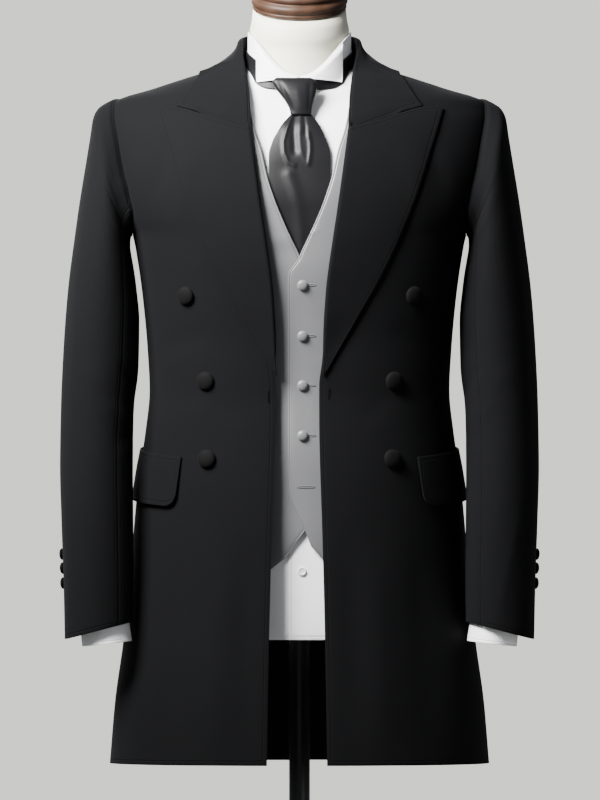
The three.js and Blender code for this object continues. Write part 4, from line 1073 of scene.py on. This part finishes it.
piece = shell("waistcoat_back_panel", 2 * WAISTCOAT_COLUMNS, len(waistcoat_heights) - 1, waistcoat_back_place,
              from_middle)
thicken(piece, WAISTCOAT_WALL, 0.4)
finished(piece, satin, "waistcoat_back")

# Waistcoat buttons: small moulds covered in the same satin, with a worked buttonhole beside each,
# and a fifth buttonhole left bare near the hem.
COVERED = [(0, 0), (0.55, 0), (0.62, 0.06), (0.7, 0.1), (0.9, 0.16), (1, 0.32), (0.99, 0.46), (0.92, 0.62),
           (0.78, 0.78), (0.58, 0.9), (0.34, 0.97), (0.14, 1), (0, 1)]
WAISTCOAT_BUTTON_X = 3.5
WAISTCOAT_BUTTON_SIZE = (6.4, 4.6)
WAISTCOAT_BUTTONS = (1207, 1146, 1086, 1025)
HOLE_ENDS = (5, 18.5)
BARE_HOLE = 964.5
BARE_HOLE_ENDS = (-3, 17.5)


def covered_button(name, spot, size, made, node_name):
    radius, height = size
    piece = turned(name, [(r * radius, h * height) for r, h in COVERED], 40, set_at(*spot))
    finished(piece, made, node_name)


def on_waistcoat(x, z, out):
    angle = angle_at_width(FORM, x, z)
    return on_body(FORM, angle, z, waistcoat_out(angle) + out)


satin_ball = cloth_finish("grey_satin_cover", (0.092, 0.093, 0.097), (0.112, 0.114, 0.119), 0.4, 1200, 0.02, patch=60.0,
                          Sheen_Weight=0.2)
for i, z in enumerate(WAISTCOAT_BUTTONS):
    covered_button(f"waistcoat_button_covered_{i + 1}", on_waistcoat(WAISTCOAT_BUTTON_X, z, 0.5),
                   WAISTCOAT_BUTTON_SIZE, satin_ball, f"waistcoat_button_{i + 1}")


# A worked buttonhole: a raised rim of close stitches round a slit, laid on the cloth.
HOLE_HALF = 0.95
STITCH_RIM = 0.62


def buttonhole(name, start, end, on_cloth, made):
    shape = bmesh.new()
    length = math.hypot(end[0] - start[0], end[1] - start[1])
    ux, uz = (end[0] - start[0]) / length, (end[1] - start[1]) / length
    bmesh.ops.create_grid(shape, x_segments=56, y_segments=8, size=0.5)
    for vertex in shape.verts:
        turn = 2 * math.pi * (vertex.co.x + 0.5)
        tube = 2 * math.pi * (vertex.co.y + 0.5)
        straight = math.copysign(abs(math.cos(turn)) ** 0.55, math.cos(turn)) * length / 2
        lump = 1 + 0.12 * math.sin(turn * 40)
        swell = STITCH_RIM * lump * math.cos(tube)
        a = length / 2 + straight + swell * math.cos(turn)
        b = (HOLE_HALF + swell) * math.sin(turn)
        x, z = start[0] + ux * a - uz * b, start[1] + uz * a + ux * b
        vertex.co = on_cloth(x, z, 0.15 + 0.5 * lump * math.sin(tube))[0] * MM
    bmesh.ops.remove_doubles(shape, verts=shape.verts, dist=2e-6)
    bmesh.ops.recalc_face_normals(shape, faces=shape.faces)
    piece = place_object(name, shape)
    piece.data.materials.append(made)


grey_thread = mottled("grey_thread", (0.045, 0.045, 0.048), (0.09, 0.09, 0.093), 0.5, 1500, Sheen_Weight=0.2)
for i, z in enumerate(WAISTCOAT_BUTTONS):
    buttonhole(f"waistcoat_buttonhole_{i + 1}", (HOLE_ENDS[0], z), (HOLE_ENDS[1], z), on_waistcoat, grey_thread)
buttonhole("waistcoat_buttonhole_5", (BARE_HOLE_ENDS[0], BARE_HOLE), (BARE_HOLE_ENDS[1], BARE_HOLE), on_waistcoat,
           grey_thread)

# The coat: black barathea in two fronts and two backs, lined in black satin. The skirt hangs in soft
# folds behind, and below the waist the left back laps over the right as a vent.
COAT = table(["z", "side", "front", "back", "mid", "square"], [
    (632, 228, 172, 168, 28, 2.3),
    (708, 221.5, 167, 161, 28, 2.3),
    (780, 211.5, 162, 154, 28, 2.3),
    (850, 204, 155, 147, 25, 2.3),
    (920, 198.5, 148, 139, 21, 2.3),
    (980, 192.5, 142, 128, 17, 2.35),
    (1030, 185, 134, 119, 12, 2.4),
    (1080, 180, 127, 113, 7, 2.4),
    (1130, 182.5, 127, 114, 4, 2.4),
    (1190, 188, 131, 119, 1, 2.4),
    (1240, 195, 135, 124, 0, 2.4),
    (1265, 200, 136, 126, 0, 2.4),
    (1284, 210, 135, 127, 0, 2.4),
    (1308, 219, 133, 128, 0, 2.4),
    (1342, 228, 127, 127, 0, 2.35),
    (1364, 231, 121, 125, 0, 2.3),
    (1386, 232, 112, 121, 0, 2.25),
    (1404, 230, 103, 117, 0, 2.2),
    (1418, 226, 94, 113, 0, 2.1),
    (1428, 219, 87, 109, 0, 2.05),
    (1433.5, 204, 83, 107, 0, 2),
    (1440, 180, 78, 103, 0, 2),
    (1447, 159, 72, 99, 0, 2),
    (1455, 134, 64, 93, 0, 2),
    (1463, 109, 55, 87, 0, 2),
    (1474, 85, 43, 76, 0, 2),
])
COAT_ARMHOLE = table(["z", "front", "back"], [
    (1265, 0, 0),
    (1272, 38, 38),
    (1284, 54, 53),
    (1300, 62, 59),
    (1320, 62, 58),
    (1342, 58, 54),
    (1364, 52, 47),
    (1386, 43, 38),
    (1404, 31, 28),
    (1418, 18, 16),
    (1428, 0, 0),
])
FRONT_EDGE = table(["z", "x"], [
    (632, 36),
    (756, 34),
    (900, 30.5),
    (1050, 26.5),
    (1086, 26.5),
    (1114, 30),
    (1165, 33),
    (1205, 36),
    (1260, 43.5),
    (1296, 49),
    (1361, 58),
    (1397, 62.5),
    (1452, 67.5),
    (1474, 77),
])
COAT_WALL = 2.2
COAT_HEM = 632
COAT_ARMPIT = 1265
COAT_SHOULDER = 1428
COAT_TOP = 1474
BREAK = 1098
VENT_TOP = 1030
VENT_LAP = 30
VENT_SETTLES = (158, 170)
OPENING_SHIFT = -3
DEGREE = 2.6
SEAM_SUNK = (1.6, -0.7)
EDGE_COLUMNS = 0.9
SKIRT_FOLD_TOP = 1010
SKIRT_FOLDS = ((118, 9, 5), (137, 8, -5), (155, 9, 6))
COAT_FRONT_CREASES = [
    ((152, 1385), (176, 1305), 11, -1.3),
    ((128, 1360), (150, 1270), 13, 0.9),
    ((105, 1150), (170, 1128), 12, -0.9),
    ((95, 1062), (160, 1046), 11, 0.8),
    ((66, 1040), (112, 1070), 11, -0.7),
    ((60, 900), (66, 640), 15, -1.5),
    ((92, 880), (104, 640), 17, 2.2),
    ((142, 900), (158, 640), 18, -2.4),
    ((180, 860), (196, 640), 12, 1.6),
]
COAT_BACK_CREASES = [
    ((117, 1350), (126, 1210), 5, -1.8),
    ((128, 1330), (137, 1200), 5, 1.3),
    ((150, 1290), (158, 1180), 7, -0.8),
    ((112, 1120), (146, 1102), 8, -1.3),
    ((120, 1085), (152, 1078), 8, 1.0),
    ((116, 1052), (140, 1058), 7, -0.9),
    ((146, 1396), (168, 1402), 6, -0.9),
    ((102, 930), (106, 660), 5, -2.0),
    ((128, 960), (127, 650), 4, 1.8),
    ((146, 940), (146, 645), 5, -1.5),
]
coat_heights = spaced([COAT_HEM, 1240, COAT_ARMPIT], 8) + spaced(
    [COAT_ARMPIT, 1272, 1284, 1300, 1404], 4)[1:] + spaced([1404, COAT_SHOULDER], 1.6)[1:] + spaced(
    [COAT_SHOULDER, 1433.5, 1463, COAT_TOP], 4)[1:]
COAT_COLUMNS = 52
coat_limits = {behind: side_limit(COAT, COAT_ARMHOLE, COAT_ARMPIT, COAT_SHOULDER, behind) for behind in (False, True)}


def skirt_fold(angle, z):
    grown = ramp(SKIRT_FOLD_TOP - z, 0, SKIRT_FOLD_TOP - COAT_HEM)
    return grown * sum(ridge(abs(angle) - at, width, depth) for at, width, depth in SKIRT_FOLDS)


def on_coat(angle, z, out=0.0):
    point, normal = on_body(COAT, angle, z)
    lift = out + skirt_fold(angle, z)
    if angle <= 90:
        flap = ramp(abs(point.x), 110, 128) * ramp(z, 915, 935) * (1 - ramp(z, 1018, 1040))
        lift += creased(COAT_FRONT_CREASES, abs(point.x), z) * (1 - flap)
    else:
        lift += creased(COAT_BACK_CREASES, angle, z)
    return point + normal * lift, normal


def on_coat_front(x, z, out):
    return on_coat(angle_at_width(COAT, x, z), z, out)


def coat_front_place(sign):
    def place(c, r):
        z = coat_heights[r]
        edge = FRONT_EDGE(z)["x"] + sign * OPENING_SHIFT * ramp(BREAK - z, -250, 0)
        inner = angle_at_width(COAT, edge, z)
        outer = coat_limits[False](z)
        angle = mix(inner, outer, c / COAT_COLUMNS)
        dip = ridge((outer - angle) * DEGREE, *SEAM_SUNK) + ridge(c, EDGE_COLUMNS, -0.5)
        point = on_coat(angle, z, dip)[0]
        return flipped(point, sign)

    return place


wool = cloth_finish("black_barathea", (0.0021, 0.00215, 0.0025), (0.0033, 0.0034, 0.0039), 0.88, 620, 0.10, slant=0.85,
                    uneven=0.5, patch=7.0, stitch=5, Sheen_Weight=0.02, Sheen_Roughness=0.5,
                    Sheen_Tint=(0.35, 0.36, 0.4, 1), Specular_IOR_Level=0.07)
lining = cloth_finish("black_lining", (0.001, 0.001, 0.0012), (0.0018, 0.0018, 0.002), 0.5, 1300, 0.015, slant=0.9,
                      uneven=0.2, patch=12.0, Specular_IOR_Level=0.06)


def lined(piece, node_name, edge=0.35):
    finished(piece, wool, node_name)
    piece.data.materials.append(lining)
    thicken(piece, COAT_WALL, edge)
    piece.modifiers["wall"].material_offset = 1


for side, sign in (("left", 1), ("right", -1)):
    piece = shell(f"coat_front_panel_{side}", COAT_COLUMNS, len(coat_heights) - 1, coat_front_place(sign), from_middle)
    lined(piece, f"coat_front_{side}")


def coat_back_place(sign, lapped, out):
    def place(c, r):
        z = coat_heights[r]
        raised = ramp(VENT_TOP - z, -45, -10)
        lap = ramp(VENT_TOP - z, 5, 30) * lapped
        edge = angle_at_width(COAT, GAP / 2 - VENT_LAP * lap, z, True)
        second, third = mix(175, 180, lap), mix(166, 171, lap)
        share = c / COAT_COLUMNS
        if share < 0.1:
            angle = mix(edge, second, share / 0.1)
        elif share < 0.22:
            angle = mix(second, third, (share - 0.1) / 0.12)
        else:
            angle = mix(third, coat_limits[True](z), (share - 0.22) / 0.78)
        dip = ridge((angle - coat_limits[True](z)) * DEGREE, *SEAM_SUNK) + ridge(c, EDGE_COLUMNS, -0.7) * (1 - raised)
        point = on_coat(angle, z, dip + out * raised * ramp(angle, *VENT_SETTLES))[0]
        return flipped(point, sign)

    return place


for side, sign, lapped, out in (("left", 1, 1, COAT_WALL + GAP), ("right", -1, 0, -0.8)):
    piece = shell(f"coat_back_panel_{side}", COAT_COLUMNS, len(coat_heights) - 1, coat_back_place(sign, lapped, out),
                  from_middle)
    lined(piece, f"coat_back_{side}")

# The peaked lapels: the fronts' own cloth, turned back along the roll line with a soft round fold.
# They lie flat at their stitched edge, and their peaks rise past the collar's ends.
GORGE = 1392
LAPEL_EDGE = table(["share", "x", "z"], [
    (0, 33, 1104),
    (0.17, 70, 1168),
    (0.36, 101, 1224),
    (0.58, 130, 1290),
    (0.78, 149, 1344),
    (1, 171, 1416),
])
LAPEL_CLEAR = 1.4
LAPEL_BULGE = 3.5
LAPEL_LENGTH = 60
LAPEL_ROLL = math.radians(148)
LAPEL_ROWS = 96
LAPEL_COLUMNS = 52
ROLL_COLUMNS = 8
GORGE_RISE = 58


def lapel_place(sign):
    def place(c, r):
        share = r / LAPEL_ROWS
        roll_z = mix(BREAK, GORGE, share)
        edge = LAPEL_EDGE(share)
        roll_x = FRONT_EDGE(roll_z)["x"] - 0.6
        across = max(0, c - ROLL_COLUMNS) / (LAPEL_COLUMNS - ROLL_COLUMNS)
        rise = GORGE_RISE * across**3 * (1 - across) * ramp(share, 0.82, 1)
        x = mix(roll_x, edge["x"], across)
        z = mix(roll_z, edge["z"], across) + rise
        out = COAT_WALL + LAPEL_CLEAR + LAPEL_BULGE * (1 - across) ** 2 * ramp(share, 0, 0.25)
        out -= ridge((1 - across) * LAPEL_LENGTH, 2.2, 0.5)
        if c < ROLL_COLUMNS:
            turn = (1 - c / ROLL_COLUMNS) * LAPEL_ROLL
            size = (out + 1.3) / 2 * mix(0.2, 1, ramp(share, 0, 0.12))
            x -= size * math.sin(turn) * 0.85
            out = out - size + size * math.cos(turn)
        return flipped(on_coat_front(x, z, out)[0], sign)

    return place


for side, sign in (("left", 1), ("right", -1)):
    piece = shell(f"coat_lapel_turned_{side}", LAPEL_COLUMNS, LAPEL_ROWS, lapel_place(sign), forwards)
    thicken(piece, COAT_WALL, 0.4)
    finished(piece, wool, f"coat_lapel_{side}")

# The coat's collar: two layers of the cloth, cut in one. It stands inside the neck, rolls over and
# falls on the shoulders, and is sewn to the lapels in front.
COLLAR = table(["share", "foldX", "foldY", "foldZ", "edgeX", "edgeZ", "edgeBack", "stand", "hollow"], [
    (0, 0, 62, 1506, 0, 1456, 1, 36, 0),
    (0.22, 41, 48, 1506, 56, 1455, 1, 34, 2),
    (0.4, 65, 21, 1504, 98, 1458, 1, 30, 6),
    (0.52, 70.5, -4, 1500, 106, 1464, 0, 25, 7.5),
    (0.62, 71, -26, 1489, 116, 1458, -1, 17, 7),
    (0.74, 67.5, -46, 1469, 128, 1444, -1, 8, 3),
    (0.87, 62.5, -82, 1432, 138, 1429, -1, 4, 0),
    (1, 61, -109, 1394, 146, 1418.5, -1, 4, 0),
])
COLLAR_CLEAR = 0.7
COLLAR_COLUMNS = 132
COLLAR_STEPS = 5
GORGE_SUNK = Vector((0, 0.8, -3.2))


def clear_of_coat(point, out):
    moved = point.copy()
    for _ in range(3):
        if moved.z > COAT_TOP:
            return moved
        behind = moved.y > COAT(moved.z)["mid"]
        near, normal = on_body(COAT, angle_at_width(COAT, moved.x, moved.z, behind), moved.z)
        distance = (moved - near).dot(normal)
        if distance < out:
            moved = moved + normal * (out - distance)
    return moved


@functools.lru_cache(maxsize=None)
def collar_section(share):
    s = COLLAR(abs(share))
    behind = s["edgeBack"] > 0
    flat = angle_at_width(COAT, s["edgeX"], s["edgeZ"], behind)
    angle = mix(90, flat, min(1, abs(s["edgeBack"])))
    out = COAT_WALL + COLLAR_CLEAR
    edge = on_body(COAT, angle, s["edgeZ"], out)[0]
    fold = clear_of_coat(Vector((s["foldX"], s["foldY"], s["foldZ"])), out)
    away = edge - fold
    away.z = 0
    away.normalize()
    up = Vector((0, 0, 1))
    inner = fold - away * 3
    top = fold + away * 3.4 - up * 2.2
    points = [
        inner - up * s["stand"],
        inner - up * 2.5,
        fold.copy(),
        clear_of_coat(top, out + 0.6),
        clear_of_coat(top.lerp(edge, 0.35) - away * s["hollow"], out + 0.8),
        clear_of_coat(top.lerp(edge, 0.7) - away * s["hollow"] * 0.85, out + 0.4),
        edge,
    ]
    if share < 0:
        for point in points:
            point.x *= -1
    return points


def through(points, place):
    i = min(int(place), len(points) - 2)
    t = place - i
    p0, p1 = points[max(i - 1, 0)], points[i]
    p2, p3 = points[i + 1], points[min(i + 2, len(points) - 1)]
    return 0.5 * (2 * p1 + (p2 - p0) * t + (2 * p0 - 5 * p1 + 4 * p2 - p3) * t**2 + (3 * p1 - p0 - 3 * p2 + p3) * t**3)


def collar_place(c, r):
    share = mix(-1, 1, c / COLLAR_COLUMNS)
    place = through(collar_section(round(share, 5)), r / COLLAR_STEPS)
    if r > 2 * COLLAR_STEPS:
        place = clear_of_coat(place, COAT_WALL + 0.6)
        sewn = ramp(abs(share), 0.95, 1) * (1 - ramp(abs(place.x), 112, 122))
        place += GORGE_SUNK * sewn
    return place


piece = shell("coat_collar_turned", COLLAR_COLUMNS, 6 * COLLAR_STEPS, collar_place, from_neck)
thicken(piece, COAT_WALL, 0.4)
finished(piece, wool, "coat_collar")

# The sleeves: two pieces each, set in at the armhole with a little fullness, curved forward at the
# elbow, creased at its inner side, and lined.
SLEEVE = table(["ring", "outerX", "outerZ", "innerX", "innerZ", "depth", "mid", "round"], [
    (0, 219, 1428, 200, 1265, 62, 0, 0),
    (1, 228.5, 1425.5, 202.4, 1262, 67, 0, 0.2),
    (2, 240.5, 1419, 203.2, 1256.5, 71, 0, 0.5),
    (3, 247.5, 1407, 202.8, 1250, 74, 0, 0.8),
    (4, 251.5, 1382, 201.8, 1243, 77, -1, 1),
    (5, 257, 1348, 200.2, 1234, 79, -2, 1),
    (6, 263.5, 1308, 197.8, 1220, 79, -4, 1),
    (7, 270, 1262, 195, 1198, 77, -7, 1),
    (8, 278, 1198, 192, 1162, 73, -11, 1),
    (9, 283, 1130, 192.8, 1110, 68, -17, 1),
    (10, 286, 1060, 198.8, 1048, 64, -24, 1),
    (11, 287, 990, 199.5, 984, 60, -34, 1),
    (12, 285, 920, 199, 918, 56, -43, 1),
    (13, 282.5, 850, 198.5, 856, 52, -49, 1),
    (14, 281, 782, 199, 803, 50, -53, 1),
])
AROUND = 80
HIND_SEAM = 68
FORE_SEAM = 28
SLEEVE_MIDDLE = (238, -20)
RING_LENGTH = 60
ARMHOLE_ROWS = [COAT_ARMPIT, 1272, 1284, 1300, 1320, 1342, 1364, 1386, 1404, 1418, COAT_SHOULDER]
# Creases by degrees round the sleeve (0 outside, 90 front, 180 inside) and by 60 mm of its length a ring.
SLEEVE_CREASES = [
    ((120, 548), (182, 580), 7, -1.9),
    ((98, 592), (164, 604), 7, 1.5),
    ((116, 628), (178, 622), 6, -1.6),
    ((244, 556), (300, 590), 9, -1.3),
    ((236, 610), (292, 604), 8, 1.2),
    ((62, 560), (110, 572), 9, 0.9),
    ((84, 250), (136, 190), 9, -1.6),
    ((104, 300), (150, 232), 9, 1.2),
    ((232, 246), (272, 176), 9, -1.6),
    ((214, 300), (256, 240), 9, 1.2),
    ((60, 700), (96, 830), 10, 1.0),
    ((24, 420), (34, 700), 12, -0.9),
    ((322, 440), (316, 660), 12, 0.9),
    ((290, 700), (262, 820), 10, 1.0),
]


def armhole_ring(body, armhole, rows, out, lap, rise=0):
    def edge(z, behind):
        depth = armhole(z)["back" if behind else "front"]
        angle = angle_at_depth(body, depth + (lap if depth > 1 else lap * depth), z, behind)
        return on_body(body, angle, z + rise * ramp(z, 1400, 1428), out)

    return [edge(z, False) for z in reversed(rows)] + [edge(z, True) for z in rows[1:-1]]


def quartered(rows):
    return [mix(a, b, i / 4) for a, b in zip(rows, rows[1:]) for i in range(4)] + [rows[-1]]


coat_seam = armhole_ring(COAT, COAT_ARMHOLE, quartered(ARMHOLE_ROWS), 0, 2.5, rise=2.5)


def sleeve_ends(s):
    return Vector((s["outerX"], s["mid"], s["outerZ"])), Vector((s["innerX"], s["mid"], s["innerZ"]))


@functools.lru_cache(maxsize=None)
def sleeve_ring(ring, shrink=0):
    def frame_of(s):
        outer, inner = sleeve_ends(s)
        across = (outer - inner).normalized()
        return (outer + inner) / 2, (outer - inner).length / 2, across, across.cross(Vector((0, -1, 0)))

    s, start = SLEEVE(ring), SLEEVE(0)
    along = Vector((0, -1, 0))
    middle, half, across, forward = frame_of(s)
    half -= shrink
    depth = s["depth"] - shrink
    start_middle, start_half, start_across, start_forward = frame_of(start)
    points = []
    for column in range(AROUND):
        turn = 2 * math.pi * column / AROUND
        local = coat_seam[column][0] - start_middle
        u = mix(local.dot(start_across) * half / start_half, half * math.cos(turn), s["round"])
        v = mix(local.dot(along) * depth / start["depth"], depth * math.sin(turn), s["round"])
        w = mix(local.dot(start_forward), 0, s["round"])
        points.append(middle + across * u + along * v + forward * w)
    return points


# How the first ring of a sleeve stands off the armhole's edge.
def set_in(seam, following, wall, clear):
    placed = []
    count = len(seam)
    for c, (point, normal) in enumerate(seam):
        up = following[c] - point
        facing = -(seam[(c + 1) % count][0] - seam[c - 1][0]).cross(up).normalized()
        lift = clear + wall / 2 * abs(facing.dot(normal))
        placed.append(point + normal * lift + facing * wall / 2)
    return placed


coat_start = set_in(coat_seam, sleeve_ring(1), COAT_WALL, -1.3)
sleeve_steps = [0, 0.08, 0.18, 0.32, 0.5, 0.7, 0.85] + [1 + i / 8 for i in range(105)]


@functools.lru_cache(maxsize=None)
def sleeve_surface(ring):
    points = sleeve_ring(ring)
    if ring < 1:
        start = sleeve_ring(0)
        points = [p + (coat_start[c] - start[c]) * (1 - ring) for c, p in enumerate(points)]
    middle = sum(points, Vector()) / AROUND
    shaped = []
    for c, p in enumerate(points):
        side = points[(c + 1) % AROUND] - points[c - 1]
        out = (p - middle) - side * (p - middle).dot(side) / side.length_squared
        degrees = 360 * c / AROUND
        move = creased(SLEEVE_CREASES, degrees, ring * RING_LENGTH) * ramp(ring, 0.6, 2)
        if ring > 9.5:
            move = min(move, 0.5) if 150 < degrees < 230 else move
        fullness = ridge(ring - 0.7, 0.45, 1) * max(0, math.cos(math.radians(degrees)))
        seam = sum(ridge(c - at, 0.5, 1) for at in (FORE_SEAM, HIND_SEAM))
        shaped.append(p + out.normalized() * (move + fullness - 0.5 * seam * ramp(ring, 0.4, 1)))
    return shaped


def sleeve_place(sign, first, last):
    def place(c, r):
        ring = sleeve_surface(sleeve_steps[r])
        column = first + c
        point = ring[column % AROUND]
        if column in (first, last):
            beside = ring[(column + (1 if column == first else -1)) % AROUND]
            point = point + (beside - point).normalized() * GAP / 2
        return flipped(point, sign)

    return place


for side, sign in (("left", 1), ("right", -1)):
    def from_sleeve(point, sign=sign):
        return Vector((point.x - sign * SLEEVE_MIDDLE[0], point.y - SLEEVE_MIDDLE[1], 0))

    for part, first, last in (("top", HIND_SEAM, AROUND + FORE_SEAM), ("under", FORE_SEAM, HIND_SEAM)):
        piece = shell(f"coat_{part}_sleeve_cloth_{side}", last - first, len(sleeve_steps) - 1,
                      sleeve_place(sign, first, last), from_sleeve)
        lined(piece, f"coat_{part}_sleeve_{side}")

# The shirt's sleeves run inside the coat's to their stiff cuffs, which show a finger's width below.
# Each is one piece of cotton, closed round the arm, and its cuff is sewn on end to end.
CUFF = table(["ring", "outerX", "outerZ", "innerX", "innerZ", "depth", "mid"], [
    (0, 267, 848, 206.5, 852, 38, -49),
    (1, 264, 810, 205, 814, 38, -53),
    (2, 260, 773, 200.5, 780, 38, -56),
])
CUFF_ROWS = 20
SHIRT_SLEEVE_EASE = 9


def cuff_ring(ring):
    s = CUFF(ring)
    outer, inner = sleeve_ends(s)
    points = []
    for column in range(AROUND):
        turn = 2 * math.pi * column / AROUND
        points.append(outer.lerp(inner, 0.5 - 0.5 * math.cos(turn)) + Vector((0, -s["depth"] * math.sin(turn), 0)))
    return points


shirt_seam = armhole_ring(FORM, SHIRT_ARMHOLE, quartered(
    [1282, 1285, 1292, 1299, 1306, 1328, 1354, 1378, 1398, 1406, SHIRT_ARM_TOP]), SHIRT_OUT, 2)
shirt_start = set_in(shirt_seam, sleeve_ring(0, SHIRT_SLEEVE_EASE), SHIRT_WALL, 7 * GAP)
shirt_end = [point + Vector((0, 0, GAP)) for point in cuff_ring(0)]


def blended(a, b, share):
    return [p.lerp(q, share) for p, q in zip(a, b)]


shirt_rings = [blended(shirt_start, sleeve_ring(0, SHIRT_SLEEVE_EASE), i / 4) for i in range(4)]
shirt_rings += [sleeve_ring(i * 0.25, SHIRT_SLEEVE_EASE) for i in range(49)]
shirt_rings += [blended(sleeve_ring(12.2, SHIRT_SLEEVE_EASE), shirt_end, i / 5) for i in range(6)]
cuff_rings = [cuff_ring(2 * i / CUFF_ROWS) for i in range(CUFF_ROWS + 1)]


def tube_place(rings, sign):
    def place(c, r):
        point = rings[r][c % AROUND]
        return flipped(point, sign)

    return place


for side, sign in (("left", 1), ("right", -1)):
    def from_sleeve(point, sign=sign):
        return Vector((point.x - sign * SLEEVE_MIDDLE[0], point.y - SLEEVE_MIDDLE[1], 0))

    piece = shell(f"shirt_sleeve_cloth_{side}", AROUND, len(shirt_rings) - 1, tube_place(shirt_rings, sign),
                  from_sleeve, closed=True)
    thicken(piece, SHIRT_WALL)
    finished(piece, cotton, f"shirt_sleeve_{side}")
    piece = shell(f"shirt_cuff_band_{side}", AROUND, CUFF_ROWS, tube_place(cuff_rings, sign), from_sleeve, closed=True)
    thicken(piece, SHIRT_WALL, 0.45)
    finished(piece, starched, f"shirt_cuff_{side}")

# Pocket flaps: the coat's cloth, lined, with rounded lower corners. Each hangs from its seam over the
# hip and follows the skirt round the side.
FLAP_LIFTS = (5.8, 3.0)
FLAP_CORNER = 13
FLAP_ROWS = 30
FLAP_COLUMNS = 60


def flap_place(sign):
    def place(c, r):
        across, down = c / FLAP_COLUMNS, r / FLAP_ROWS
        top = mix(1000, 1013, across)
        bottom = mix(940, 952, across)
        end = max(0, abs(across - 0.5) * 2 - 0.8) / 0.2
        rounded = FLAP_CORNER * (1 - math.sqrt(max(0, 1 - end**2)))
        z = mix(bottom + rounded, top, down)
        front = angle_at_width(COAT, mix(140, 147, (1000 - z) / 60), z)
        angle = mix(front, mix(107, 108, down), across)
        lift = mix(FLAP_LIFTS[0], FLAP_LIFTS[1], down**0.8)
        rim = ridge(min(c, FLAP_COLUMNS - c, r), 2.2, 0.5)
        return flipped(on_body(COAT, angle, z, lift + 0.4 - rim)[0], sign)

    return place


for side, sign in (("left", 1), ("right", -1)):
    piece = shell(f"coat_flap_hung_{side}", FLAP_COLUMNS, FLAP_ROWS, flap_place(sign), from_middle)
    lined(piece, f"coat_flap_{side}", 0.4)

# Coat buttons: moulds covered in black cloth, two rows of three in front and three on each cuff,
# with a worked buttonhole at each front edge.
COAT_BUTTONS = ((135, 1193, 0.8), (112, 1091, -0.05), (110, 998, 0.8))
CUFF_BUTTONS = (13.02, 12.76, 12.52)
COAT_BUTTON_SIZE = (11, 6.5)
CUFF_BUTTON_SIZE = (7, 4.6)
CUFF_BUTTON_COLUMN = AROUND - 4
black_cover = cloth_finish("black_cloth_cover", (0.0014, 0.0014, 0.0016), (0.0022, 0.0022, 0.0025), 0.8, 900, 0.06,
                           patch=40.0, Sheen_Weight=0.01, Specular_IOR_Level=0.08)
for side, sign in (("left", 1), ("right", -1)):
    for i, (x, z, out) in enumerate(COAT_BUTTONS):
        spot = [flipped(vector, sign) for vector in on_coat_front(x, z, out)]
        covered_button(f"coat_button_covered_{side}_{i + 1}", spot, COAT_BUTTON_SIZE, black_cover,
                       f"coat_button_{side}_{i + 1}")
    for i, ring in enumerate(CUFF_BUTTONS):
        around, above = sleeve_ring(ring), sleeve_ring(ring + 0.05)
        at = CUFF_BUTTON_COLUMN
        normal = (around[at - 4] - around[(at + 4) % AROUND]).cross(above[at] - around[at]).normalized()
        normal *= math.copysign(1, normal.x)
        spot = [flipped(vector, sign) for vector in (around[at] + normal * 1.3, normal)]
        covered_button(f"cuff_button_covered_{side}_{i + 1}", spot, CUFF_BUTTON_SIZE, black_cover,
                       f"cuff_button_{side}_{i + 1}")

black_thread = mottled("black_thread", (0.0008, 0.0008, 0.001), (0.002, 0.002, 0.0023), 0.6, 1500,
                       Specular_IOR_Level=0.06)
for side, start, end in (("left", (35, 1069), (35.5, 1082)), ("right", (-37, 1065), (-36.5, 1079))):
    buttonhole(f"coat_buttonhole_{side}", start, end, on_coat_front, black_thread)
